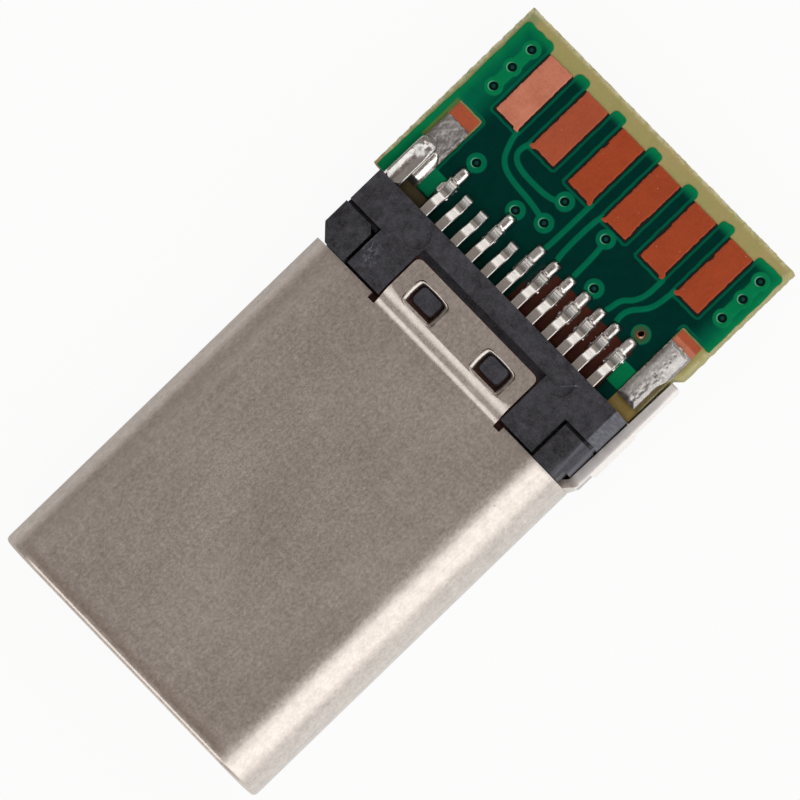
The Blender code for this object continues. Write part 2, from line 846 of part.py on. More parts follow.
def build_latch_plate(material):
    """The middle sheet: two side latches in front, the ground leg of each side behind."""
    z = plate_thickness / 2
    half = plate_half_width
    wing_rear = block_rear - wing_setback
    wing_front = wing_rear - wing_length
    root_rear = plate_start + latch_arm_root
    arm_in = tongue_slot_width / 2 + latch_arm_play
    arm_out = arm_in + latch_arm_width
    high = (half, wing_front + wing_length / 2, z)
    plate = boxes("latch_plate", [((-half, plate_start, -z), high)], material)
    bars = boxes("latch_bar", [((-arm_out, plate_start, -z), (arm_out, root_rear, z))])
    join(plate, bars)
    for sign in (1, -1):
        outline = [
            (arm_in, plate_start + latch_arm_root / 2),
            (arm_in, latch_arm_start + latch_hook_length),
            (arm_in - latch_hook_reach, latch_arm_start + latch_hook_length * 0.65),
            (arm_in - latch_hook_reach, latch_arm_start + latch_hook_length * 0.35),
            (arm_in, latch_arm_start),
            (arm_out, latch_arm_start),
            (arm_out, plate_start + latch_arm_root / 2),
        ]
        join(plate, prism("latch_arm", [(sign * x, y) for x, y in outline], "Z", -z, z))
    left = leg_centre(1) - leg_width / 2
    right = leg_centre(-1) + leg_width / 2
    join(plate, boxes("latch_wings", [((left, wing_front, -z), (right, wing_rear, z))]))
    knots = [
        (wing_front + wing_length / 2, 0, 0),
        (wing_rear - fit_clearance, 0, 0),
        (block_rear + leg_bend_past, leg_level, 0),
        (leg_rear, leg_level, 0),
    ]
    path = bent_wire(knots, bend_steps)
    for side in (1, -1):
        x = leg_centre(side)
        outline = flipped(strip(path, plate_thickness), side)
        join(plate, prism("ground_leg", outline, "X", x - leg_width / 2, x + leg_width / 2))
    return plate


def board_outline():
    """The board from above, cut back on the right where the side arm stands beside it."""
    cut_x = arm_inner - fit_clearance
    cut_y = board_front + board_cut_length
    return [
        (board_left, board_front),
        (cut_x, board_front),
        (cut_x, cut_y),
        (board_right, cut_y + (board_right - cut_x)),
        (board_right, board_rear),
        (board_left, board_rear),
    ]


def via_places():
    places = [(circuit_shift + x, board_front + y) for x, y in signal_vias]
    for sign in (1, -1):
        for setback in corner_via_setbacks:
            places.append((circuit_shift + sign * corner_via_spread / 2, board_rear - setback))
    return places


def via_drills(places, low, high):
    shape = bmesh.new()
    for centre in places:
        add_prism(shape, arc(centre, via_radius, 0, 360, via_sides)[:-1], "Z", low, high)
    return new_object("via_drills", shape)


def build_board(material):
    board = prism("circuit_board", board_outline(), "Z", -board_top, board_top, material)
    cut(board, via_drills(via_places(), -cutter_reach, cutter_reach))
    return board


def wire_pad_centres():
    first = circuit_shift - wire_pad_pitch * (wire_pad_count - 1) / 2
    return [first + wire_pad_pitch * i for i in range(wire_pad_count)]


def ground_pad_box(sign, grow=0.0):
    """The corners, from above, of the ground pad on one side."""
    x = circuit_shift + sign * ground_pad_spread / 2
    x1 = min(x + ground_pad_width / 2, arm_inner - 2 * fit_clearance) + grow
    x0 = x - ground_pad_width / 2 - grow
    y0 = board_front + ground_pad_start - grow
    return x0, y0, x1, y0 + ground_pad_length + 2 * grow


def build_masks(material):
    """The two lacquer films, open over every bare pad and set back beside the side arm."""
    left = board_left + mask_margin_left
    right = board_right - mask_margin_right
    beside_arm = min(right, arm_inner - 2 * fit_clearance)
    shoulder = ground_pad_box(1, wire_pad_window)[3] + fit_clearance
    front = board_front + fit_clearance
    tips = board_rear - mask_margin_rear
    edges = [left]
    for x in wire_pad_centres():
        reach = wire_pad_width / 2 + wire_pad_window
        edges += [x - reach, x + reach]
    edges += [right]
    foot = board_rear - wire_pad_setback - wire_pad_length - wire_pad_window
    outline = [(left, front), (beside_arm, front), (beside_arm, shoulder), (right, shoulder)]
    for k in range(len(edges) - 1, 0, -2):
        x1, x0 = edges[k], edges[k - 1]
        r = min(finger_round, (x1 - x0) / 2.05)
        outline += [(x1, foot)] if k < len(edges) - 1 else []
        outline += arc((x1 - r, tips - r), r, 0, 90, corner_steps)
        outline += arc((x0 + r, tips - r), r, 90, 180, corner_steps)
        outline += [(x0, foot)] if k > 1 else []
    top = prism("upper_solder_mask", outline, "Z", film_low, film_low + mask_thickness, material)
    high = film_low + cutter_reach
    windows = []
    for sign in (1, -1):
        x0, y0, x1, y1 = ground_pad_box(sign, wire_pad_window)
        windows.append(((x0, y0, film_low - cutter_reach / 4), (x1, y1, high)))
    places = contact_places()
    for first, last in ((1, 1), (4, 4), (6, contact_count)):
        x0 = circuit_shift + places[first - 1] - (contact_width / 2 + contact_window_side)
        x1 = circuit_shift + places[last - 1] + (contact_width / 2 + contact_window_side)
        y0 = board_front + contact_window_start
        low = (x0, y0, film_low - cutter_reach / 4)
        windows.append((low, (x1, board_front + contact_window_end, high)))
    cut(top, boxes("mask_windows", windows))
    open_via = [via_places()[len(signal_vias) - 1]]
    cut(top, via_drills(open_via, 0, high))
    low_outline = rectangle(left, front, beside_arm, tips)
    bottom = prism("lower_solder_mask", low_outline, "Z", -film_low - mask_thickness, -film_low, material)
    windows = []
    for sign in (1, -1):
        x0, y0, x1, y1 = ground_pad_box(sign, wire_pad_window)
        windows.append(((x0, y0, -high), (x1, y1, 0)))
    for number in soldered_lower:
        x = circuit_shift + places[number - 1]
        y0 = board_front + contact_window_start
        x0 = x - (contact_width / 2 + contact_window_side)
        x1 = x + (contact_width / 2 + contact_window_side)
        windows.append(((x0, y0, -high), (x1, board_front + contact_window_end, 0)))
    cut(bottom, boxes("lower_mask_windows", windows))
    return top, bottom


def build_wire_pads(material):
    rear = board_rear - wire_pad_setback
    for number, x in enumerate(wire_pad_centres(), 1):
        low = (x - wire_pad_width / 2, rear - wire_pad_length, film_low)
        high = (x + wire_pad_width / 2, rear, pad_top)
        boxes(f"wire_pad_{number}", [(low, high)], material)


def build_ground_pads(material):
    for side, level in ((1, "upper"), (-1, "lower")):
        z0, z1 = span(film_low, pad_top, side)
        for sign, hand in ((-1, "left"), (1, "right")):
            x0, y0, x1, y1 = ground_pad_box(sign)
            boxes(f"{level}_ground_pad_{hand}", [((x0, y0, z0), (x1, y1, z1))], material)


def build_contact_joints(material):
    """Each soldered contact's tinned pad, with the solder heaped behind the tail's tip."""
    heap_start = tail_end + 2 * fit_clearance
    pad_start = board_front + contact_pad_start
    pad_end = board_front + contact_pad_end
    middle = (heap_start + pad_end) / 2
    radius = (pad_end - heap_start) / 2
    heap = [
        (middle + radius * math.cos(a), pad_top + joint_dome * math.sin(a))
        for a in [math.pi * i / bend_steps for i in range(bend_steps + 1)]
    ]
    outline = [(pad_start, film_low), (pad_end, film_low)] + heap + [(pad_start, pad_top)]
    half = contact_width / 2
    places = contact_places()
    for side, row, numbers in ((1, "upper", soldered_upper), (-1, "lower", soldered_lower)):
        for number in numbers:
            x = circuit_shift + places[number - 1]
            name = f"{row}_solder_joint_{number:02d}"
            prism(name, flipped(outline, side), "X", x - half, x + half, material)


def solder_pillow(name, x0, y0, x1, y1, height, side, material):
    """A domed pad of solder: its outline draws in as it rises."""
    base = pad_top + seat_gap
    rings = []
    for share in (0, 0.35, 0.7, 1.0):
        inset = solder_draw_in * share**3
        z = side * (base + height * share)
        ring = rounded_rectangle(x0 + inset, y0 + inset, x1 - inset, y1 - inset, solder_corner)
        rings.append([(x, y, z) for x, y in ring])
    return loft(name, rings, material)


def build_ground_solder(material):
    """Solder on the free ground pads and beside the two ground legs."""
    for side, level in ((1, "upper"), (-1, "lower")):
        free = side
        x0, y0, x1, y1 = ground_pad_box(free)
        inset = seat_gap
        end = y1 - ground_solder_setback
        name = f"{level}_pad_solder"
        solder_pillow(name, x0 + inset, y0 + inset, x1 - inset, end, ground_solder_height, side, material)
        x0, y0, x1, y1 = ground_pad_box(-free)
        start = leg_rear + fit_clearance
        end = min(start + leg_solder_past, y1 - seat_gap)
        name = f"{level}_leg_solder"
        solder_pillow(name, x0 + inset, start, x1 - inset, end, leg_solder_height, side, material)


def build_plug():
    steel = finish("nickel_plated_steel", (0.50, 0.46, 0.42), 0.36, 1.0)
    black = finish("black_moulding", (0.035, 0.035, 0.04), 0.55, 0.0)
    tinned = finish("tinned_contact_alloy", (0.62, 0.60, 0.58), 0.30, 1.0)
    spring = finish("spring_steel", (0.55, 0.54, 0.52), 0.30, 1.0)
    laminate = finish("glass_laminate", (0.42, 0.34, 0.13), 0.60, 0.0)
    lacquer = finish("green_solder_mask", (0.0, 0.09, 0.07), 0.25, 0.0)
    copper = finish("bare_copper", (0.42, 0.09, 0.03), 0.40, 0.8)
    solder = finish("solder", (0.62, 0.61, 0.60), 0.28, 1.0)
    build_shell(steel)
    build_insulator(black)
    build_carriers(black)
    build_contacts(tinned)
    build_latch_plate(spring)
    build_ground_spring("upper_ground_spring", 1, spring)
    build_ground_spring("lower_ground_spring", -1, spring)
    build_board(laminate)
    build_masks(lacquer)
    build_wire_pads(copper)
    build_ground_pads(copper)
    build_contact_joints(solder)
    build_ground_solder(solder)


def place_plug():
    """Hangs every piece on one empty, which puts the world's origin under the plug's middle."""
    frame = bpy.data.objects.new("plug_frame", None)
    bpy.context.scene.collection.objects.link(frame)
    pieces = [thing for thing in bpy.data.objects if thing is not frame]
    for piece in pieces:
        piece.parent = frame
    frame.matrix_world = Matrix.Translation((0, -board_rear / 2, plug_height / 2))


clear_scene()
build_plug()
place_plug()
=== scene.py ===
"""Finishes a reversible cable plug and its wire board: steel, black mouldings, lacquer, copper and solder."""

import math

import bmesh
import bpy
import numpy as np
from bpy.props import FloatProperty, FloatVectorProperty, PointerProperty
from mathutils import Matrix, Vector


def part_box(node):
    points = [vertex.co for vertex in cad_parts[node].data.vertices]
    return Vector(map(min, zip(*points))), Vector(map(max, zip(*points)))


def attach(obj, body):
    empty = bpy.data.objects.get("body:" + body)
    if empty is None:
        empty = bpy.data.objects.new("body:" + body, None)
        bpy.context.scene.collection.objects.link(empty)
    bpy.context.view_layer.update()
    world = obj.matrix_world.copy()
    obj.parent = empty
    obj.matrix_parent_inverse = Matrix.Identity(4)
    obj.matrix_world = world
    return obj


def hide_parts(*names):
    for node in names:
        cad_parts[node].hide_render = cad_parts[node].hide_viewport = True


bl_info = {
    "name": "Cable plug finishes",
    "version": (1, 0, 0),
    "blender": (4, 5, 0),
    "location": "3D View > Sidebar > Plug",
    "description": "Finishes a reversible cable plug and its wire board",
    "category": "Object",
}

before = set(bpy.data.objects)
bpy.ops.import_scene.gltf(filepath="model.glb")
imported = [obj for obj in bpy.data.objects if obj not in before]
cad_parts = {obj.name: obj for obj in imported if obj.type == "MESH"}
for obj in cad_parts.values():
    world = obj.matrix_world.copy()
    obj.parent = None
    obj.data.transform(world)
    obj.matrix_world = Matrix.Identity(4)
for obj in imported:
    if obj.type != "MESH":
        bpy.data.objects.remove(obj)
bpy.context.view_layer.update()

mm = 0.001
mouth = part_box("shell")[0].y
board_middle = (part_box("circuit_board")[0].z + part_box("circuit_board")[1].z) / 2
origin = np.array([0.0, mouth, board_middle])


def box_mm(node):
    """Lowest and highest corners of a CAD node, in millimetres from the middle of the plug's mouth."""
    low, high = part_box(node)
    return (np.array(low) - origin) / mm, (np.array(high) - origin) / mm


board_low, board_high = box_mm("circuit_board")
film_low, film_high = box_mm("upper_solder_mask")
pad_top = box_mm("wire_pad_1")[1][2]
arm_side = box_mm("lower_solder_mask")[1][0]
ear_rear = 11.0
arm_top = 0.45
upper_joints = sorted(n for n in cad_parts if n.startswith("upper_solder_joint_"))
lower_joints = sorted(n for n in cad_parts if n.startswith("lower_solder_joint_"))
contacts = sorted(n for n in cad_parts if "_contact_" in n and "carrier" not in n)
wire_pads = sorted(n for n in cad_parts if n.startswith("wire_pad_"))


# The view and the stage: angles in degrees, view_middle and view_width in millimetres, the others in metres

view_lean = 7.7
view_tip = 0.6
view_turn = 45.937
view_middle = (-0.102, 8.7086)
view_width = 18.307
lamp_distance = 0.5
floor_reach = 1.5


# Shader maths


class Value:
    """A number that varies over a surface. Its operators add Math nodes to the material."""

    def __init__(self, shader, socket):
        self.shader = shader
        self.socket = socket

    def __add__(self, other):
        return self.shader.math("ADD", self, other)

    def __sub__(self, other):
        return self.shader.math("SUBTRACT", self, other)

    def __rsub__(self, other):
        return self.shader.math("SUBTRACT", other, self)

    def __mul__(self, other):
        return self.shader.math("MULTIPLY", self, other)

    def __abs__(self):
        return self.shader.math("ABSOLUTE", self)

    __radd__ = __add__
    __rmul__ = __mul__

    def step(self, low, high):
        """Nought where the number is at low, one where it is at high, and smooth between."""
        options = {"interpolation_type": "SMOOTHSTEP"}
        node = self.shader.node("ShaderNodeMapRange", options, {0: self, 1: low, 2: high})
        return Value(self.shader, node.outputs[0])

    def within(self, low, high, soft):
        """One between low and high, fading to nought over soft outside them."""
        return self.step(low - soft, low) * (1 - self.step(high, high + soft))


class Shader:
    """One material or world, and the nodes that its expressions add."""

    def __init__(self, name, **constants):
        self.material = bpy.data.materials.new(name)
        self.material.use_nodes = True
        self.tree = self.material.node_tree
        self.surface = self.tree.nodes["Principled BSDF"]
        for key, value in constants.items():
            self.set(key.replace("_", " "), value)

    def node(self, kind, settings=None, inputs=None):
        """Adds one node: its settings come first, then a value or a link for each named socket."""
        node = self.tree.nodes.new(kind)
        for key, value in (settings or {}).items():
            setattr(node, key, value)
        for key, value in (inputs or {}).items():
            self.feed(node.inputs[key], value)
        return node

    def feed(self, socket, value):
        if isinstance(value, Value):
            self.tree.links.new(value.socket, socket)
        elif isinstance(value, bpy.types.NodeSocket):
            self.tree.links.new(value, socket)
        elif hasattr(value, "__len__") and socket.type == "RGBA" and len(value) == 3:
            socket.default_value = (*value, 1.0)
        else:
            socket.default_value = value

    def set(self, name, value):
        self.feed(self.surface.inputs[name], value)

    def math(self, operation, *values):
        node = self.node("ShaderNodeMath", {"operation": operation}, dict(enumerate(values)))
        return Value(self, node.outputs[0])

    def highest(self, first, second):
        return self.math("MAXIMUM", first, second)

    def lowest(self, first, second):
        return self.math("MINIMUM", first, second)

    def place(self):
        """Object coordinates in millimetres from the mouth's middle: the vector and its three numbers."""
        objects = self.node("ShaderNodeTexCoord").outputs["Object"]
        mapping = {"Location": tuple(-origin / mm), "Scale": (1 / mm,) * 3, "Vector": objects}
        vector = self.node("ShaderNodeMapping", None, mapping).outputs[0]
        split = self.node("ShaderNodeSeparateXYZ", None, {0: vector})
        return vector, [Value(self, output) for output in split.outputs]

    def stretched(self, vector, scale):
        """The place, with each direction times its scale."""
        settings = {"operation": "MULTIPLY"}
        return self.node("ShaderNodeVectorMath", settings, {0: vector, 1: scale}).outputs[0]

    def noise(self, vector, scale, detail=3.0, roughness=0.55):
        """Cloudy noise between nought and one, with scale lumps in a millimetre."""
        inputs = {"Vector": vector, "Scale": scale, "Detail": detail, "Roughness": roughness}
        return Value(self, self.node("ShaderNodeTexNoise", None, inputs).outputs[0])

    def spots(self, vector, scale, size):
        """One inside round spots of that share of a cell, nought between them."""
        node = self.node("ShaderNodeTexVoronoi", {"feature": "F1"}, {"Vector": vector, "Scale": scale})
        return 1 - Value(self, node.outputs["Distance"]).step(size * 0.6, size)

    def nearest(self, vector, centres):
        """Distance from above to the nearest of some places on the board."""
        flat = self.stretched(vector, (1.0, 1.0, 0.0))
        best = 1000.0
        for x, y in centres:
            node = self.node("ShaderNodeVectorMath", {"operation": "DISTANCE"}, {0: flat, 1: (x, y, 0.0)})
            best = self.lowest(Value(self, node.outputs["Value"]), best)
        return best

    def attribute(self, name):
        return Value(self, self.node("ShaderNodeAttribute", {"attribute_name": name}).outputs["Fac"])

    def mix(self, share, first, second):
        """A colour between first, at share nought, and second, at share one."""
        settings = {"data_type": "RGBA"}
        node = self.node("ShaderNodeMix", settings, {0: share, 6: first, 7: second})
        return node.outputs[2]

    def tint(self, colour, amount):
        """The colour times a number."""
        settings = {"data_type": "RGBA", "blend_type": "MULTIPLY"}
        grey = self.node("ShaderNodeCombineColor", None, {0: amount, 1: amount, 2: amount})
        return self.node("ShaderNodeMix", settings, {0: 1.0, 6: colour, 7: grey.outputs[0]}).outputs[2]

    def bump(self, height, distance, strength=1.0):
        """Feeds Normal with a bump of that height, in millimetres of distance."""
        inputs = {"Height": height, "Distance": distance * mm, "Strength": strength}
        self.set("Normal", self.node("ShaderNodeBump", None, inputs).outputs[0])


# Shapes


def put_mesh(name, points, faces, attributes=None):
    """A mesh object from points in millimetres and arrays of faces, one array for each number of corners."""
    mesh = bpy.data.meshes.new(name)
    counts = np.concatenate([np.full(len(f), f.shape[1]) for f in faces])
    corners = np.concatenate([f.ravel() for f in faces])
    starts = np.concatenate([[0], np.cumsum(counts)[:-1]])
    mesh.vertices.add(len(points))
    mesh.vertices.foreach_set("co", (points * mm + origin).astype(np.float32).ravel())
    mesh.loops.add(len(corners))
    mesh.loops.foreach_set("vertex_index", corners.astype(np.int32))
    mesh.polygons.add(len(counts))
    mesh.polygons.foreach_set("loop_start", starts.astype(np.int32))
    mesh.polygons.foreach_set("use_smooth", np.ones(len(counts), bool))
    for key, values in (attributes or {}).items():
        layer = mesh.attributes.new(key, "FLOAT", "POINT")
        layer.data.foreach_set("value", values.astype(np.float32))
    mesh.update(calc_edges=True)
    mesh.validate()
    piece = bpy.data.objects.new(name, mesh)
    bpy.context.scene.collection.objects.link(piece)
    return piece


def finish_piece(piece, material, replaced=(), sharp=35):
    """Gives a piece its material, its sharp edges and its body, and hides the nodes that it stands for."""
    piece.data.materials.clear()
    piece.data.materials.append(material)
    piece.data.set_sharp_from_angle(angle=math.radians(sharp))
    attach(piece, "root")
    if replaced:
        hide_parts(*replaced)
    return piece


def eased_copy(node, material, width, steps=2, angle=30, share=None, worked=None):
    """A CAD node with its corners merged, its flat faces joined and its sharp edges eased.

    width is the widest bevel in millimetres. share, if given, takes an edge's middle in millimetres from the
    mouth and gives the part of that width which the edge gets. worked, if given, takes the copy's corners the
    same way and gives their places after the sheet has been worked.
    """
    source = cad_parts[node]
    mesh = bpy.data.meshes.new(f"{node}_eased")
    shape = bmesh.new()
    if worked:
        places = np.empty(len(source.data.vertices) * 3, np.float32)
        source.data.vertices.foreach_get("co", places)
        moved = worked((places.reshape(-1, 3) - origin) / mm) * mm + origin
        mesh = source.data.copy()
        mesh.name = f"{node}_eased"
        mesh.vertices.foreach_set("co", moved.astype(np.float32).ravel())
        shape.from_mesh(mesh)
    else:
        shape.from_mesh(source.data)
    bmesh.ops.remove_doubles(shape, verts=shape.verts, dist=0.0005 * mm)
    flat = math.radians(0.6)
    bmesh.ops.dissolve_limit(shape, angle_limit=flat, verts=shape.verts, edges=shape.edges)
    for face in shape.faces:
        face.smooth = True
    if share:
        weights = shape.edges.layers.float.new("bevel_weight_edge")
        for edge in shape.edges:
            if edge.is_manifold and edge.calc_face_angle() > math.radians(angle):
                middle = (np.array((edge.verts[0].co + edge.verts[1].co) / 2) - origin) / mm
                edge[weights] = share(*middle)
    shape.to_mesh(mesh)
    shape.free()
    piece = bpy.data.objects.new(f"{node}_eased", mesh)
    bpy.context.scene.collection.objects.link(piece)
    if width:
        bevel = piece.modifiers.new("eased_edges", "BEVEL")
        bevel.width = width * mm
        bevel.segments = steps
        bevel.limit_method = "WEIGHT" if share else "ANGLE"
        bevel.angle_limit = math.radians(angle)
        bevel.use_clamp_overlap = True
        normals = piece.modifiers.new("flat_faces", "WEIGHTED_NORMAL")
        normals.keep_sharp = True
    return finish_piece(piece, material, [node], 80 if width else angle)


def lofted(name, rings):
    """A closed tube through rings of points.

    rings is an array of sections, each with as many points, anticlockwise seen from its end.
    """
    sections, around = rings.shape[:2]
    index = np.arange(sections * around).reshape(sections, around)
    turned = np.roll(index, -1, axis=1)
    sides = np.stack([index[:-1], turned[:-1], turned[1:], index[1:]], axis=-1).reshape(-1, 4)
    caps = [index[:1, ::-1], index[-1:]]
    return put_mesh(name, rings.reshape(-1, 3), [sides, *caps])


def window_rim(name, centre, top, side):
    """A rolled rim round one window of the shell: a closed ring with a quarter-round on its upper inner edge.

    Its outline is a box with round corners. The quarter-round is rim_wide across at the window's sides and
    rim_long at its ends. side is 1 for the upper face of the shell and -1 for the lower.
    """
    turns = np.linspace(0, 2 * np.pi, 64, endpoint=False)
    dx, dy = np.cos(turns), np.sin(turns)
    corner = 0.12
    outline_x = np.clip(dx * 2, -1, 1) * (window_half[0] - corner) + dx * corner
    outline_y = np.clip(dy * 2, -1, 1) * (window_half[1] - corner) + dy * corner
    angle = np.radians([0, 12, 24, 36, 48, 60, 72, 84])
    out = np.concatenate([1 - np.sin(angle), [0.0, 0.95]])
    down = np.concatenate([0.125 * (1 - np.cos(angle)), [0.235, 0.235]])
    width_x, width_y = dx * rim_wide, dy * rim_long
    x = centre[0] + outline_x[:, None] + width_x[:, None] * out
    y = centre[1] + outline_y[:, None] + width_y[:, None] * out
    z = np.broadcast_to(top - down, x.shape)
    points = np.stack([x, y, side * z], axis=-1)
    index = np.arange(x.size).reshape(x.shape)
    along, around = np.roll(index, -1, axis=0), np.roll(index, -1, axis=1)
    both = np.roll(along, -1, axis=1)
    quads = np.stack([index, along, both, around], axis=-1).reshape(-1, 4)
    if side < 0:
        quads = quads[:, ::-1]
    return put_mesh(name, points.reshape(-1, 3), [quads])


def grid_faces(rows, columns):
    """The corner numbers of each square of a grid, anticlockwise."""
    index = np.arange(rows * columns).reshape(rows, columns)
    squares = [index[:-1, :-1], index[:-1, 1:], index[1:, 1:], index[1:, :-1]]
    return np.stack(squares, axis=-1).reshape(-1, 4)


def slope(distance, x, y):
    """How a distance changes along x and y, from its values a micrometre to each side."""
    e = 0.001
    along_x = (distance(x + e, y) - distance(x - e, y)) / (2 * e)
    along_y = (distance(x, y + e) - distance(x, y - e)) / (2 * e)
    return along_x, along_y


def sheet(name, distance, low, high, spacing, top, bottom, extra=None, facing=1):
    """A closed sheet on a square grid.

    It covers the places where distance(x, y) is below nought: grid corners near the edge are first moved onto
    it along the distance's own slope. top(x, y) and bottom(x, y) give the height of its two faces, and a wall
    joins them along the edge. facing is 1 for a sheet on top of the board and -1 for one under it.
    """
    across = np.arange(low[0], high[0] + spacing, spacing)
    along = np.arange(low[1], high[1] + spacing, spacing)
    x, y = np.meshgrid(across, along)
    away = distance(x, y)
    near = np.abs(away) < 0.62 * spacing
    for _ in range(3):
        gx, gy = slope(distance, x, y)
        size = np.maximum(gx**2 + gy**2, 0.2)
        now = distance(x, y)
        x = np.where(near, x - now * gx / size, x)
        y = np.where(near, y - now * gy / size, y)
    inside = near | (away < 0)
    corners = grid_faces(*x.shape)
    held = inside.ravel()[corners]
    firm = (inside & ~near).ravel()[corners].any(axis=1)
    middle = distance(x.ravel()[corners].mean(axis=1), y.ravel()[corners].mean(axis=1)) < 0
    whole = corners[held.all(axis=1) & (firm | middle)]
    partly = (held.sum(axis=1) == 3) & firm
    order = np.argsort(~held[partly], axis=1, kind="stable")[:, :3]
    thirds = np.take_along_axis(corners[partly], np.sort(order, axis=1), axis=1)
    used, flat = np.unique(np.concatenate([whole.ravel(), thirds.ravel()]), return_inverse=True)
    quads = flat[: whole.size].reshape(-1, 4)
    triangles = flat[whole.size :].reshape(-1, 3)
    px, py = x.ravel()[used], y.ravel()[used]
    count = len(used)
    starts = np.concatenate([quads.ravel(), triangles.ravel()])
    ends = np.concatenate([np.roll(quads, -1, axis=1).ravel(), np.roll(triangles, -1, axis=1).ravel()])
    open_edge = ~np.isin(ends * count + starts, starts * count + ends)
    a, b = starts[open_edge], ends[open_edge]
    walls = np.stack([a, a + count, b + count, b], axis=-1)
    faces = [quads, triangles, quads[:, ::-1] + count, triangles[:, ::-1] + count, walls]
    if facing < 0:
        faces = [face[:, ::-1] for face in faces]
    points = np.concatenate([np.column_stack([px, py, face(px, py)]) for face in (top, bottom)])
    values = {key: np.tile(field(px, py), 2) for key, field in (extra or {}).items()}
    return put_mesh(name, points, [face for face in faces if len(face)], values)


def box_distance(x, y, x0, y0, x1, y1, radius=0.0):
    """Signed distance to a box with round corners: below nought inside it."""
    dx = np.abs(x - (x0 + x1) / 2) - (x1 - x0) / 2 + radius
    dy = np.abs(y - (y0 + y1) / 2) - (y1 - y0) / 2 + radius
    return np.hypot(np.maximum(dx, 0), np.maximum(dy, 0)) + np.minimum(np.maximum(dx, dy), 0) - radius


def softened(points, rounds=3):
    """A polyline with its corners cut a few times, so that it bends smoothly."""
    path = np.array(points, float)
    for _ in range(rounds):
        first = path[:-1] * 0.75 + path[1:] * 0.25
        second = path[:-1] * 0.25 + path[1:] * 0.75
        inner = np.stack([first, second], axis=1).reshape(-1, 2)
        path = np.concatenate([path[:1], inner, path[-1:]])
    return path


def track_distance(x, y, points, width):
    """Signed distance to a line of that width along the points."""
    path = softened(points)
    ax, ay = path[:-1, 0], path[:-1, 1]
    bx, by = np.diff(path[:, 0]), np.diff(path[:, 1])
    best = np.full(np.shape(x), 1e9)
    for k in range(len(ax)):
        share = np.clip(((x - ax[k]) * bx[k] + (y - ay[k]) * by[k]) / (bx[k] ** 2 + by[k] ** 2), 0, 1)
        best = np.minimum(best, np.hypot(x - ax[k] - share * bx[k], y - ay[k] - share * by[k]))
    return best - width / 2


def waves(x, y, seed, size):
    """Smooth uneven noise between about -1 and 1: a sum of twelve sine waves about size millimetres long."""
    rng = np.random.default_rng(seed)
    total = np.zeros(np.shape(x))
    for _ in range(12):
        angle, phase = rng.uniform(0, 2 * np.pi, 2)
        rate = 2 * np.pi / (size * rng.uniform(0.6, 1.8))
        total = total + np.sin(rate * (x * np.cos(angle) + y * np.sin(angle)) + phase)
    return total / 4.2


def smooth_step(value, low, high):
    """Nought up to low, one from high, and 3 s^2 - 2 s^3 of the share s between them."""
    share = np.clip((value - low) / (high - low), 0, 1)
    return share * share * (3 - 2 * share)


# Places on the board and the shell, in millimetres from the middle of the mouth

tracks = [
    [(-2.62, 14.90), (-2.55, 14.62), (-2.39, 14.24), (-2.04, 14.05), (-1.14, 14.00), (-0.67, 13.88)],
    [(-2.20, 14.94), (-2.27, 14.75), (-2.27, 14.56), (-2.11, 14.40), (-1.72, 14.33), (-0.95, 14.36)]
    + [(-0.69, 14.57)],
    [(-0.21, 14.94), (-0.21, 13.67), (-0.25, 13.41)],
    [(0.20, 14.97), (0.11, 14.75), (0.11, 13.67), (0.19, 13.41)],
    [(0.59, 14.64), (0.67, 14.30), (0.69, 13.41)],
    [(2.18, 14.90), (2.18, 14.43), (2.06, 14.11), (1.84, 13.92), (1.79, 13.60), (1.74, 13.41)],
    [(2.55, 14.94), (2.50, 14.43), (2.39, 14.17), (2.13, 13.89), (2.08, 13.60), (2.16, 13.41)],
]
signal_vias = [(-2.753, 13.744), (-1.338, 13.62), (-0.689, 14.567)]
signal_vias += [(-0.67, 13.884), (0.593, 14.64), (1.22, 13.656)]
open_via = (2.727, 13.69)
left_vias = [(-3.746, 16.46), (-3.772, 15.863), (-3.76, 15.258)]
right_vias = [(3.767, 16.482), (3.778, 15.916), (3.757, 15.277)]
pad_leads = [
    [(-2.80, 15.10), (-2.60, 14.82)],
    [(-2.02, 15.10), (-2.22, 14.82)],
    [(-0.36, 15.10), (-0.20, 14.82)],
    [(0.36, 15.10), (0.18, 14.82)],
    [(2.02, 15.10), (2.18, 14.82)],
    [(2.72, 15.10), (2.53, 14.82)],
]
track_width = 0.127
ring_radius = 0.235
hole_radius = 0.10
finger_tip = 16.90
pad_gap = 0.05
window_foot = 14.885
joint_rear = 13.50
tinned_strip = (-0.04, 12.02, 2.90, 13.27)
arm_gap = 0.02
window_side = 1.095
cut_middle = 10.695
cut_half = (0.425, 0.315)
window_middle = 10.632
window_half = np.array([0.372, 0.300])
rim_shift = 0.003
arm_root = 10.70
arm_taper = 2.60
arm_thinned = 0.065
block_side = 3.92
block_drawn = 0.028
leg_bend = 13.0
rim_wide = 0.118
rim_long = 0.060
slab_pits = [
    (3.62, 13.90, (0.020, 0.030), 0.05),
    (3.66, 13.72, (0.018, 0.026), 0.06),
    (3.60, 13.61, (0.016, 0.020), 0.05),
    (3.69, 13.58, (0.014, 0.028), 0.05),
    (3.63, 13.25, (0.040, 0.050), 0.05),
    (3.73, 13.16, (0.030, 0.060), 0.05),
    (3.66, 12.93, (0.028, 0.045), 0.08),
    (3.72, 12.74, (0.022, 0.130), 0.09),
    (3.80, 12.86, (0.018, 0.090), 0.06),
    (3.68, 12.52, (0.030, 0.060), 0.06),
]
joint_blobs = {
    1: (-0.135, 12.76, 0.20),
    4: (0.10, 12.78, 0.12),
    9: (-0.10, 12.88, 0.10),
    12: (0.11, 12.95, 0.14),
}
leg_skin_box = (-4.035, 12.90, -3.352, 14.095)
leg_coat_box = (-4.077, 12.06, -3.553, 13.42)
leg_fillet_box = (-3.66, 12.38, -3.31, 13.38)
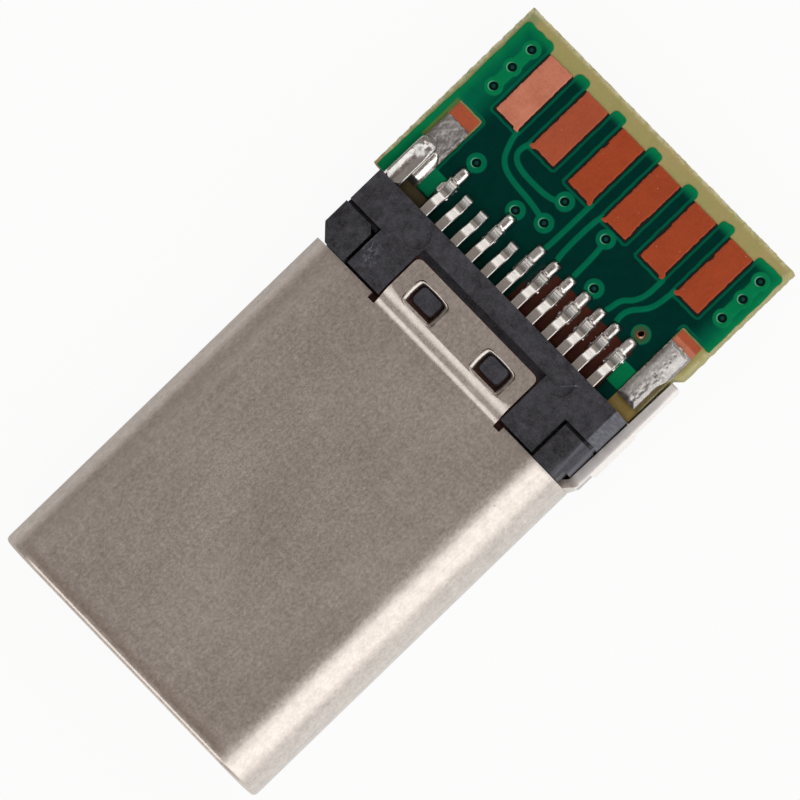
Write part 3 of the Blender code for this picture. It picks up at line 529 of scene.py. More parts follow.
slab_box = (3.300, 12.385, 3.955, 14.12)
green_blocks = [(-3.34, 12.40, -2.96, 12.99), (2.86, 12.42, 3.27, 13.02)]


def union(*distances):
    """The nearer of several signed distances: the shape that covers all of theirs."""
    return np.minimum.reduce(distances)


def pad_boxes():
    """The lowest and highest corners of the six wire pads."""
    return [box_mm(pad) for pad in wire_pads]


def board_distance(x, y):
    """Signed distance to the board: a frayed box, less its holes and the corner beside the side arm."""
    body = box_distance(x, y, board_low[0], board_low[1], board_high[0], board_high[1], 0.02)
    cut_x = arm_side + arm_gap
    corner = np.maximum(cut_x - x, (y - 13.49 - (x - cut_x)) / math.sqrt(2))
    fray = 0.007 * (1.1 + waves(x, y, 5, 0.30)) + 0.005 * (1.1 + waves(x, y, 6, 0.11))
    fray = np.maximum(fray, 0.002) * (y > board_low[1] + 0.05)
    return np.maximum(np.maximum(body + fray, -corner), -through_distance(x, y))


def through_distance(x, y):
    """Signed distance to the holes that go through the board."""
    centres = via_centres() + [open_via]
    return union(*[np.hypot(x - cx, y - cy) - hole_radius * 0.9 for cx, cy in centres])


def board_top(x, y):
    """Height of the board's upper face, rubbed down along its sawn edges, with a slight grain."""
    edge = smooth_step(board_distance(x, y), -0.10, 0.0)
    return board_high[2] - 0.035 * edge**2 - 0.0008 * (1 + waves(x, y, 21, 0.25))


def board_bottom(x, y):
    """Height of the board's lower face: the upper one turned over."""
    return -board_top(x, y)


def joint_windows(nodes, rear):
    """The openings over the soldered tails, one for each joint."""
    for node in nodes:
        low, high = box_mm(node)
        yield low[0] - 0.03, 12.02, high[0] + 0.03, rear


def upper_lacquer_distance(x, y):
    """Signed distance to the upper lacquer: its outline less the windows over the bare metal."""
    pads = pad_boxes()
    left, right = film_low[0], film_high[0]
    front = film_low[1]
    lean = 0.065 * np.clip((14.7 - y) / 2.4, 0, 1)
    body = union(
        np.maximum(box_distance(x, y, left - 0.1, front, arm_side - 0.02, 14.70), left - lean - x),
        box_distance(x, y, left, 14.50, right, window_foot + 0.045, 0.02),
    )
    edges = [left] + [e for low, high in pads for e in (low[0] - pad_gap, high[0] + pad_gap)] + [right]
    for k in range(0, len(edges), 2):
        body = np.minimum(body, box_distance(x, y, edges[k], 14.50, edges[k + 1], finger_tip, 0.12))
    for low, high in pads:
        gap = box_distance(x, y, low[0] - pad_gap, window_foot, high[0] + pad_gap, finger_tip + 1, 0.04)
        body = np.maximum(body, -gap)
    for side in ("left", "right"):
        low, high = box_mm(f"upper_ground_pad_{side}")
        wide = 0.6 if side == "right" else 0.0
        low_y = 11.5 if side == "right" else low[1] - 0.03
        window = box_distance(x, y, low[0] - 0.03, low_y, high[0] + 0.04 + wide, high[1] + 0.05, 0.04)
        body = np.maximum(body, -window)
    for x0, y0, x1, y1 in joint_windows(upper_joints, joint_rear):
        body = np.maximum(body, -box_distance(x, y, x0, y0, x1, y1, 0.04))
    body = np.maximum(body, -box_distance(x, y, *tinned_strip, 0.05))
    body = np.maximum(body, -box_distance(x, y, -3.70, 11.5, -2.93, 12.36, 0.03))
    body = np.maximum(body, hole_radius - np.hypot(x - open_via[0], y - open_via[1]))
    wavy = (y > 14.5) & (x < -4.0) | (y > 16.8) | (x > 4.0)
    return body + 0.006 * waves(x, y, 3, 0.22) + 0.010 * wavy * waves(x, y, 4, 0.35)


def lower_lacquer_distance(x, y):
    """Signed distance to the lower lacquer: a rectangle less the windows over the pads and the joints."""
    body = box_distance(x, y, film_low[0], film_low[1], arm_side - 0.02, finger_tip, 0.08)
    for side in ("left", "right"):
        low, high = box_mm(f"lower_ground_pad_{side}")
        wide = 0.6 if side == "right" else 0.0
        x0, y0 = low[:2] - 0.04
        x1, y1 = high[:2] + 0.04
        body = np.maximum(body, -box_distance(x, y, x0, y0, x1 + wide, y1, 0.04))
    for x0, y0, x1, y1 in joint_windows(lower_joints, joint_rear):
        body = np.maximum(body, -box_distance(x, y, x0, y0, x1, y1, 0.04))
    return body + 0.006 * waves(x, y, 8, 0.25)


def upper_copper_distance(x, y):
    """Signed distance to the copper under the upper lacquer: tracks, rings and two ground areas."""
    parts = [track_distance(x, y, points, track_width) for points in tracks]
    parts += [np.hypot(x - cx, y - cy) - ring_radius for cx, cy in signal_vias + [open_via]]
    for cx, cy in signal_vias[:2] + signal_vias[5:]:
        parts.append(track_distance(x, y, [(cx, cy), (cx, 13.3)], 0.15))
    parts += [box_distance(x, y, *block, 0.02) for block in green_blocks]
    parts.append(halo_distance(x, y))
    return union(*parts)


def lower_copper_distance(x, y):
    """Signed distance to the copper under the lower lacquer: the rings and the corner areas."""
    parts = [np.hypot(x - cx, y - cy) - ring_radius for cx, cy in signal_vias + [open_via]]
    parts.append(halo_distance(x, y))
    return union(*parts)


def via_centres():
    """Every drilled hole but the open one."""
    return signal_vias + left_vias + right_vias


def halo_distance(x, y):
    """Signed distance to the copper round the corner holes, one long shape on each side."""
    parts = []
    for chain in (left_vias, right_vias):
        parts += [np.hypot(x - cx, y - cy) - 0.225 for cx, cy in chain]
        parts.append(track_distance(x, y, chain, 0.29))
    return union(*parts)


def film_height(x, y, lacquer, copper):
    """The lacquer's height over the board: raised over copper, dished in the holes, rounded at its edges.

    A smooth step of 0.020 mm follows the copper's outline, the edge falls by 0.012 mm times a squared step,
    and each dish is a bell curve of the distance to its hole.
    """
    over = 1 - smooth_step(copper(x, y), -0.03, 0.035)
    rim = smooth_step(lacquer(x, y), -0.06, 0.0)
    reach = union(*[np.hypot(x - cx, y - cy) for cx, cy in via_centres()])
    dish = np.exp(-(((reach - 0.075) / 0.045) ** 2)) * 0.024
    height = 0.031 + 0.020 * over - 0.012 * rim**2 + 0.0015 * waves(x, y, 11, 0.5)
    return np.maximum(height - dish, 0.010)


def upper_lacquer_top(x, y):
    """Height of the upper film's outer face."""
    return board_high[2] + film_height(x, y, upper_lacquer_distance, upper_copper_distance)


def lower_lacquer_top(x, y):
    """Height of the lower film's outer face."""
    return -board_high[2] - film_height(x, y, lower_lacquer_distance, lower_copper_distance)


def pad_shape(index):
    """Signed distance to one wire pad: a box with uneven sides and a small bite, and its lead at a corner."""
    low, high = pad_boxes()[index]
    bites = {2: (0.0, 16.15, 0.10), 3: (1.0, 15.45, 0.28), 4: (0.0, 15.75, 0.22), 5: (0.0, 16.05, 0.12)}
    side, along, reach = bites.get(index, (0.0, 0.0, 0.01))

    def distance(x, y):
        body = box_distance(x, y, low[0], low[1], high[0], high[1], 0.03)
        lead = track_distance(x, y, pad_leads[index], track_width)
        lead = np.maximum(lead, window_foot + 0.005 - y)
        bite = 0.026 - np.hypot(x - low[0] - side * (high[0] - low[0]), (y - along) * 0.026 / reach)
        shape = np.maximum(np.minimum(body, lead), bite)
        return shape + 0.007 * waves(x, y, 30 + index, 0.16)

    return distance


def softened_top(distance, height, round_off, grain=0.0, seed=1):
    """A face at a height that drops over its last stretch towards the edge."""

    def top(x, y):
        edge = smooth_step(distance(x, y), -round_off, 0.0)
        return height - round_off * 0.5 * edge**2 + grain * waves(x, y, seed, 0.12)

    return top


# Solder, as heights above the board's middle


def blob(x, y, centre, half, height):
    """An egg-shaped heap: height times sqrt(1 - (dx / half_x)^2 - (dy / half_y)^2) inside its oval."""
    share = ((x - centre[0]) / half[0]) ** 2 + ((y - centre[1]) / half[1]) ** 2
    return height * np.sqrt(np.clip(1 - share, 0, 1))


def mound(x, y, centre, half, height):
    """A squarer heap: height times sqrt(1 - (dx / half_x)^2.4 - (dy / half_y)^4) inside its outline."""
    share = np.abs((x - centre[0]) / half[0]) ** 2.4 + np.abs((y - centre[1]) / half[1]) ** 4
    return height * np.sqrt(np.clip(1 - share, 0, 1))


def joint_shape(node):
    """A joint's outline and height: its tinned pad, a heap behind the tail and a fillet at each side.

    The outline is the union of three boxes and an oval. The height is the highest of a mound, two smooth
    fillets and two egg-shaped blobs.
    """
    low, high = box_mm(node)
    middle = (low[0] + high[0]) / 2
    foot, heel, tip = 12.60, 12.90, 13.13
    number = int(node[-2:])
    rng = np.random.default_rng(100 + number)
    shift = rng.uniform(-0.012, 0.012)
    tall = 0.125 + rng.uniform(-0.015, 0.025)
    reach = 0.172 + rng.uniform(-0.012, 0.014)
    rear = joint_rear - 0.01 - rng.uniform(0, 0.030)
    side, along_side, long_side = joint_blobs.get(number, (0.0, 12.9, 0.1))

    def distance(x, y):
        heap = box_distance(x, y, middle - 0.132 + shift, heel, middle + 0.132 + shift, rear, 0.06)
        flanks = box_distance(x, y, middle - reach, foot, middle + reach, tip, 0.07)
        tinned = box_distance(x, y, middle - 0.125, foot - 0.27, middle + 0.125, tip + 0.07, 0.03)
        extra = np.hypot(x - middle - side, (y - along_side) * 0.09 / long_side) - 0.09
        return union(heap, flanks, tinned, extra) + 0.008 * waves(x, y, number, 0.18)

    def top(x, y):
        away = np.abs(x - middle)
        heap = mound(x, y, (middle + shift, tip + 0.14), (0.142, 0.235), tall)
        along = smooth_step(y, foot - 0.02, foot + 0.25) * (1 - smooth_step(y, tip - 0.08, tip + 0.03))
        fillet = 0.115 * (1 - smooth_step(away, 0.10, reach)) * along
        collar = blob(x, y, (middle, tip - 0.07), (reach, 0.11), 0.12)
        lump = blob(x, y, (middle + side, along_side), (0.095, long_side), 0.10)
        level = pad_top + 0.004 + np.maximum.reduce([heap, fillet, collar, lump])
        edge = smooth_step(distance(x, y), -0.03, 0.0)
        return level - 0.012 * edge + 0.002 * waves(x, y, 40 + number, 0.10) * (level > pad_top + 0.02)

    return distance, top


def leg_skin_shape():
    """The dull tinned skin behind the left leg: thin and rough, with a bell-shaped ridge along its right."""

    def distance(x, y):
        return box_distance(x, y, *leg_skin_box, 0.04) + 0.006 * waves(x, y, 51, 0.2)

    def top(x, y):
        edge = smooth_step(distance(x, y), -0.09, 0.0)
        rough = 0.016 * waves(x, y, 52, 0.20) + 0.008 * waves(x, y, 53, 0.08)
        ridge = 0.030 * np.exp(-(((x + 3.415) / 0.016) ** 2)) * smooth_step(y, 13.2, 13.4)
        return pad_top + 0.050 - 0.036 * edge**2 + rough * (1 - edge) + ridge

    return distance, top


def leg_coat_shape():
    """The solder drawn over the left leg: a bar with a long shallow trough and a domed tip.

    Its height is 0.292 sqrt(1 - across^8 - 0.9 tip^2.6), less a parabola for the trough and plus a
    bell-shaped swell.
    """
    left, _, right, _ = leg_coat_box
    middle, half = (left + right) / 2, (right - left) / 2

    def distance(x, y):
        return box_distance(x, y, *leg_coat_box, 0.25) + 0.006 * waves(x, y, 54, 0.3)

    def top(x, y):
        across = np.clip(np.abs(x - middle) / (half + 0.006), 0, 1)
        tip = np.clip((y - 13.13) / 0.30, 0, 1)
        arch = np.sqrt(np.clip(1 - across**8 - 0.9 * tip**2.6, 0.0, 1))
        swell = 0.055 * np.exp(-(((x - middle + 0.07) / 0.10) ** 2) - ((y - 13.19) / 0.12) ** 2)
        trough = np.clip(1 - ((x - middle) / 0.215) ** 2, 0, 1) * (1 - smooth_step(y, 12.80, 13.15))
        rough = 0.002 * waves(x, y, 55, 0.30) + 0.0012 * waves(x, y, 56, 0.14)
        return pad_top + 0.012 + (0.292 + rough) * arch + swell - 0.088 * trough

    return distance, top


def leg_fillet_shape():
    """The bright fillet between the left leg and its pad.

    Across its width it falls by (1 - share)^1.1 and swells by sin(pi share). Smooth steps lower its ends.
    """

    def distance(x, y):
        taper = 0.22 * np.clip((y - 12.95) / 0.40, 0, 1) ** 1.6
        body = box_distance(x, y, *leg_fillet_box, 0.12)
        return np.maximum(body, x + taper - leg_fillet_box[2]) + 0.004 * waves(x, y, 57, 0.28)

    def top(x, y):
        share = np.clip((x + 3.60) / 0.29, 0, 1)
        rise = 0.150 * (1 - share) ** 1.1 + 0.070 * np.sin(np.pi * share)
        edge = smooth_step(distance(x, y), -0.05, 0.0)
        ends = smooth_step(y, 12.36, 12.52) * (1 - smooth_step(y, 13.18, 13.36))
        rise = rise * (0.35 + 0.65 * ends) * (1 - 0.55 * edge)
        return pad_top + 0.006 + rise + 0.002 * waves(x, y, 58, 0.3)

    return distance, top


def pad_solder_shape():
    """The thick solder on the right ground pad, steep at its sides, wrinkled towards the front.

    Its height is a level swell less 0.08 edge^2.2 at the sides, with a smooth fall on the right and a
    bell-shaped hollow at each of the slab_pits.
    """

    def distance(x, y):
        waist = 0.10 * (1 - smooth_step(y, 13.05, 13.50))
        body = box_distance(x, y, *slab_box, 0.07)
        return np.maximum(body, x + waist - slab_box[2]) + 0.007 * waves(x, y, 61, 0.22)

    def top(x, y):
        edge = smooth_step(distance(x, y), -0.17, 0.0)
        wrinkled = smooth_step(x, 3.44, 3.62) * (1 - smooth_step(y, 13.2, 13.7))
        wrinkled = wrinkled * smooth_step(y, 12.45, 12.6)
        rough = 0.012 * waves(x, y, 62, 0.20) + 0.009 * waves(x, y, 63, 0.09)
        swell = 0.135 + 0.005 * waves(x, y, 64, 0.5) + 0.0035 * waves(x, y, 65, 0.10)
        fall = 0.105 * smooth_step(x, 3.62, 3.93) * smooth_step(y, 13.2, 13.5)
        pits = 0
        for px, py, half, deep in slab_pits:
            pits = pits + deep * np.exp(-(((x - px) / half[0]) ** 2) - ((y - py) / half[1]) ** 2)
        rough = rough * (0.22 + 0.78 * wrinkled)
        rise = swell - fall - 0.08 * edge**2.2 + (rough - pits) * (1 - edge)
        return pad_top + np.maximum(rise, 0.012)

    return distance, top


def level(height):
    """A flat face at that height."""
    return lambda x, y: x * 0 + height


def web_rings(x0, x1):
    """Sections of the moulded web that joins an ear to the block behind it: a bar with rounded edges."""
    tall, ease = 1.22, 0.06
    front, rear = ear_rear - 0.06 + ease, ear_rear + 0.10 - ease
    foot, head = ease - tall, tall - ease
    corner = np.linspace(0, np.pi / 2, 4)
    arcs = []
    for k, (cy, cz) in enumerate([(rear, head), (front, head), (front, foot), (rear, foot)]):
        turn = corner + k * np.pi / 2
        arcs.append(np.stack([cy + ease * np.cos(turn), cz + ease * np.sin(turn)], axis=-1))
    section = np.concatenate(arcs)
    rings = [np.column_stack([np.full(len(section), x), section]) for x in (x0, x1)]
    return np.array(rings)


def turned_over(shape, shift):
    """The same outline and height under the board and on its other side, moved left by the shift."""
    distance, top = shape
    return (lambda x, y: distance(-x - shift, y)), (lambda x, y: -top(-x - shift, y))


def under(shape):
    """The same outline and height on the board's underside, straight below."""
    distance, top = shape
    return distance, (lambda x, y: -top(x, y))


# Materials


def steel():
    """Bright rolled sheet: grain, soft clouds, pits, a scratch and a rough sheared edge on the side arm, with
    painted highlights on the mouth's lip, the arm's outer face and the arm's tip, and painted shade on the
    right-hand rims of the windows.
    """
    look = bpy.context.scene.plug_steel
    s = Shader("shell_steel", Metallic=1.0)
    vector, (x, y, z) = s.place()
    grain = s.noise(s.stretched(vector, (1.0, 0.7, 1.0)), 15.0, 4.0, 0.75)
    patch = s.noise(vector, 4.2, 3.0, 0.6)
    cloud = s.noise(vector, 0.55, 4.0, 0.6)
    streak = s.noise(s.stretched(vector, (9.0, 0.35, 9.0)), 1.0, 3.0)
    pits = s.spots(vector, 1.5, 0.045) + s.spots(vector, 3.7, 0.06)
    specks = s.spots(s.stretched(vector, (1.0, 1.0, 0.2)), 2.3, 0.05)
    marks = 1 - s.nearest(vector, [(0.89, 2.96), (-3.75, 9.39), (0.25, 8.6), (-2.2, 5.1)]).step(0.02, 0.045)
    marks = marks * z.step(1.2, 1.3)
    scratch = x.within(2.80, 3.02, 0.03) * abs(y - 2.38 - (x - 2.9) * 0.35).within(0.0, 0.012, 0.012)
    scratch = scratch * z.step(1.2, 1.3)
    sheared = x.step(3.95, 3.99) * y.step(10.15, 10.45) * z.step(arm_top - 0.12, arm_top - 0.05)
    shade = 1.0 + (grain - 0.5) * 0.80 + (patch - 0.5) * 0.40
    shade = shade + (cloud - 0.5) * 0.14 + (streak - 0.5) * 0.24
    mouth = x.within(-3.3, 2.95, 0.3) * z.step(1.0, 1.1)
    # Painted highlight: the colour is brightened along the mouth's rolled lip.
    lip = (1 - y.step(0.10, 0.15)) * mouth
    # A warmer, darker band just behind the mouth's lip.
    warm = y.step(0.15, 0.20) * (1 - y.step(0.20, 0.46)) * mouth
    # Painted shade: the right-hand rims of the two windows on the top face are darkened.
    rims = (x + window_side).within(0.355, 0.495, 0.02) + (x - window_side).within(0.355, 0.495, 0.02)
    rims = rims * y.within(10.33, 10.90, 0.03) * z.step(1.2, 1.3)
    shade = shade + lip * 0.22 - rims * 0.40 - pits * 0.30 + specks * 0.14 - marks * 0.35 + scratch * 0.35
    # The arm's outer face is smoother, and its colour is brightened there as a painted highlight.
    outer = x.step(4.17, 4.21) * y.step(10.0, 10.3)
    # Dark patches low on the arm's outer face, and a dark speck higher up.
    arm_dark_patches = y.within(10.22, 10.60, 0.06) * z.within(-0.25, 0.20, 0.08) * patch.step(0.30, 0.45)
    arm_dark_patches = arm_dark_patches + y.within(11.80, 11.93, 0.03) * z.within(0.28, 0.44, 0.03) * patch.step(0.40, 0.50)
    arm_dark_patches = arm_dark_patches * x.step(4.12, 4.20)
    # The cut edge's colour brightens towards the arm's tip as a painted highlight, and more on the outer
    # face.
    cut = s.tint(look.sheared, (0.74 + patch * 0.34 + y.step(12.9, 13.2) * 0.16) * (1 + outer * 0.2))
    colour = s.mix(sheared, s.tint(look.colour, shade + outer * 0.45), cut)
    colour = s.mix(arm_dark_patches * 0.75, colour, look.arm_dark_patches)
    colour = s.mix(warm * 0.30, colour, look.mouth_band)
    s.set("Base Color", colour)
    rough = look.roughness + (grain - 0.5) * 0.20 + (cloud - 0.5) * 0.10 + pits * 0.2
    s.set("Roughness", rough + sheared * (0.34 + (patch - 0.5) * 0.5) - outer * (1 - sheared) * 0.15)
    s.bump(grain + streak * 0.3 + patch * 0.5 - pits * 0.6 - marks, 0.004, 0.6)
    return s.material


def black_plastic():
    """Glass-filled black moulding: mottled skin, round gate marks, pale nicks, a rubbed patch, right-hand
    corners painted paler as lit sides with rubbed streaks, and painted warm shade in the recesses.
    """
    look = bpy.context.scene.plug_moulding
    s = Shader("black_moulding", Specular_IOR_Level=0.32)
    vector, (x, y, z) = s.place()
    mottle = s.noise(vector, 4.5, 5.0, 0.65)
    fine = s.noise(vector, 24.0, 3.0, 0.6)
    scuff = s.noise(s.stretched(vector, (1.0, 2.2, 1.0)), 2.6, 5.0, 0.7).step(0.60, 0.76)
    nicks = s.spots(vector, 4.5, 0.07) + s.spots(vector, 9.0, 0.06) * 0.7
    # Painted light: the block's right-hand face behind the ears is made paler as if lit from the right,
    # broken by rubbed streaks.
    slant = s.noise(s.stretched(vector, (3.0, 9.0, 3.0)), 1.3, 4.0, 0.7)
    right = x.step(3.70, 3.745) * z.step(0.2, 0.8) * y.step(11.05, 11.12)
    right = right * (0.38 + slant.step(0.42, 0.68) * 0.55)
    # Painted highlights: pale vertical bands on the ears' right-hand bevels.
    bands = s.noise(s.stretched(vector, (8.0, 0.6, 1.0)), 1.0, 3.0).step(0.40, 0.70) * x.step(3.55, 3.66)
    bands = (bands * 0.7 + x.step(3.60, 3.72) * 0.35) * (1 - y.step(11.05, 11.12)) * z.step(0.3, 0.9)
    patch = 1 - s.nearest(vector, [(-2.86, 10.62), (-2.74, 10.42)]).step(0.05, 0.30)
    patch = patch * s.noise(s.stretched(vector, (3.0, 2.0, 1.0)), 4.0, 4.0, 0.7).step(0.46, 0.62)
    on_top = z.step(1.40, 1.46)
    gate = s.nearest(vector, [(-2.36, 11.59), (2.36, 11.59)])
    smear = s.noise(vector, 5.0, 4.0, 0.7)
    ring = gate.within(0.22, 0.30, 0.07) * on_top * smear.step(0.30, 0.55)
    dish = (1 - gate.step(0.10, 0.26)) * on_top * smear
    scratched = abs(y - 11.66 - (x - 2.55) * 1.1).within(0.0, 0.012, 0.018)
    scratched = scratched * x.within(2.44, 2.66, 0.04) * on_top
    ears = s.highest(x.step(2.98, 3.02), 1 - x.step(-3.05, -3.01)) * (1 - y.step(11.06, 11.08))
    pale = scuff * 0.10 + nicks * 0.22 + right * 0.80 + bands * 0.40
    pale = pale + patch * 0.45 + dish * 0.12 + scratched * 0.8
    shade = 0.94 + (mottle - 0.5) * 2.6 + (fine - 0.5) * 1.8 - ears * 0.25 - ring * 0.45
    colour = s.mix(pale, s.tint(look.colour, shade), look.scuffs_and_sheen)
    # Painted shade: a warm brown over the recess round the tab and along the ears' fronts.
    floor = z.within(0.6, 1.29, 0.03) * y.within(9.9, 11.25, 0.1) * x.within(-2.2, 2.2, 0.1)
    front = y.within(9.82, 9.95, 0.02)
    s.set("Base Color", s.mix(s.highest(floor, front) * 0.8, colour, look.warm_gap_shade))
    s.set("Roughness", look.roughness + (mottle - 0.5) * 0.3 + pale * 0.15)
    s.bump(mottle * 0.6 + fine * 0.5 + scuff * 0.3 + pale * 0.4, 0.009, 0.8)
    return s.material


def plated():
    """Tinned strip: bright, slightly uneven, with a dull film in places and painted shade on the tails' flat
    feet.
    """
    look = bpy.context.scene.plug_solder
    s = Shader("contact_plating", Metallic=1.0)
    vector, (_, y, _) = s.place()
    film = s.noise(vector, 6.0, 4.0, 0.6)
    fine = s.noise(s.stretched(vector, (2.5, 0.7, 2.5)), 30.0, 2.0)
    dull = film.step(0.55, 0.75)
    # Painted shade: the tails' flat feet are darkened, as they mirror the dim room.
    foot = y.within(12.77, 12.91, 0.025)
    shade = 1.0 + (fine - 0.5) * 0.40 - dull * 0.22 - foot * 0.50
    s.set("Base Color", s.tint(look.plating, shade))
    s.set("Roughness", 0.33 + dull * 0.14 + (fine - 0.5) * 0.10)
    s.bump(film + fine * 0.3, 0.008, 0.7)
    return s.material


def spring_sheet():
    """Rolled spring sheet of the ground springs and the latch plate, with grain along its length."""
    look = bpy.context.scene.plug_steel
    s = Shader("spring_steel", Metallic=1.0)
    vector, _ = s.place()
    grain = s.noise(s.stretched(vector, (14.0, 1.2, 14.0)), 2.0, 3.0)
    blotch = s.noise(vector, 3.0, 4.0, 0.6)
    s.set("Base Color", s.tint(look.spring, 1.0 + (grain - 0.5) * 0.3 + (blotch - 0.5) * 0.35))
    s.set("Roughness", 0.24 + (blotch - 0.5) * 0.25)
    s.bump(grain + blotch, 0.005, 0.6)
    return s.material


def molten():
    """Set solder: bright domes, with a frosted and wrinkled skin where the piece is marked dull."""
    look = bpy.context.scene.plug_solder
    s = Shader("solder", Metallic=1.0)
    vector, _ = s.place()
    dull = s.attribute("dull")
    skin = s.noise(vector, 7.0, 3.0, 0.6)
    fine = s.noise(vector, 26.0, 2.0, 0.5)
    spots = s.spots(vector, 7.0, 0.12)
    frost = s.highest(skin.step(0.50, 0.66), dull)
    coarse = s.noise(vector, 4.0, 4.0, 0.7)
    shade = 1.0 + (fine - 0.5) * 0.35 - frost * 0.08 - dull * ((skin - 0.5) * 1.0 + spots * 0.35 + 0.05)
    shade = shade * (1 - s.attribute("tone") * (0.6 + coarse * 0.8))
    s.set("Base Color", s.tint(look.solder, shade))
    s.set("Roughness", 0.21 + frost * 0.18 + dull * 0.20 + (fine - 0.5) * 0.10)
    s.bump(skin + fine * 0.25 - spots * dull * 0.5, 0.011, 0.7)
    return s.material


def laminate():
    """Glass and resin board: olive, whitish at its edges, brown between the tails, dark round the pads."""
    look = bpy.context.scene.plug_board
    s = Shader("glass_laminate", Specular_IOR_Level=0.2)
    vector, (x, y, z) = s.place()
    weave = s.math("SINE", x * 31.0) * s.math("SINE", y * 31.0)
    cloud = s.noise(vector, 1.4, 4.0, 0.6)
    fine = s.noise(vector, 18.0, 3.0, 0.6)
    fibre = s.noise(s.stretched(vector, (3.0, 1.0, 9.0)), 7.0, 3.0)
    wet = s.noise(vector, 5.0, 4.0, 0.65)
    top = z.step(0.28, 0.34)
    edge = s.attribute("edge").step(-0.14, -0.005)
    wall = z.within(-0.35, 0.31, 0.02)
    ragged = s.noise(vector, 7.0, 5.0, 0.75).step(0.36, 0.62) * (1 - wall * 0.85) + wall * 0.45
    frayed = edge * (1 - x.step(3.85, 4.0) * 0.5) * (0.20 + ragged * 0.8)
    shade = 0.97 + weave * 0.012 + (cloud - 0.5) * 0.36 + (fine - 0.5) * 0.20
    warm = cloud.step(0.46, 0.62) * y.step(16.6, 16.8) * 0.55
    base = s.tint(s.mix(warm, look.laminate, look.laminate_warm), shade)
    side = 1 - x.step(board_low[0] + 0.25, board_low[0] + 0.5)
    base = s.mix(side * 0.9, base, s.tint(look.laminate_side, shade))
    colour = s.mix(frayed, base, s.tint(look.cut_edge, 0.8 + fibre * 0.5))
    burnt = (1 - x.step(-4.40, -4.15)) * (1 - y.step(12.15, 12.45)) * 0.6
    colour = s.mix(burnt, colour, look.laminate_warm)
    gaps = x.within(-3.50, 3.45, 0.03) * y.within(14.70, 16.685, 0.03) * top
    colour = s.mix(gaps, colour, look.shadow_gap)
    tails = x.within(-3.33, 3.20, 0.02) * y.within(11.9, 13.60, 0.02) * top
    colour = s.mix(tails, colour, s.tint(look.lacquer_dark, 0.6 + wet * 0.4))
    left = x.within(-3.80, -2.95, 0.02) * y.within(11.9, 12.38, 0.02) * top
    colour = s.mix(left, colour, s.tint(look.stained, 0.45 + wet * 0.9))
    right = x.step(3.18, 3.24) * y.within(11.9, 12.42, 0.03) * top
    colour = s.mix(right, colour, s.tint(look.amber, 0.75 + wet * 0.7))
    x0, y0, x1, y1 = tinned_strip
    brown = x.within(x0, x1, 0.02) * (y + (wet - 0.5) * 0.35).within(y0 - 0.3, y1, 0.03) * top
    brown = brown * (1 - (1 - (x + (wet - 0.5) * 0.1).step(0.35, 0.42)) * y.step(12.50, 12.75))
    colour = s.mix(brown, colour, s.tint(look.browned, 0.6 + wet * 0.9))
    slivers = x.within(-2.90, -2.83, 0.01) + x.within(-1.42, -1.32, 0.01) + x.within(-0.40, -0.32, 0.01)
    slivers = slivers * y.within(11.9, 12.42, 0.06) * top * wet.step(0.35, 0.5)
    colour = s.mix(slivers, colour, s.tint(look.copper, 0.75))
    drilled = 1 - s.nearest(vector, [open_via]).step(0.12, 0.15)
    s.set("Base Color", s.mix(drilled, colour, s.tint(look.copper_pale, 0.45)))
    s.set("Roughness", 0.62 - brown * 0.30 + (fine - 0.5) * 0.2 + edge * 0.2)
    s.bump(weave * 0.08 + fine * 0.5 + fibre * edge, 0.008, 0.6)
    return s.material


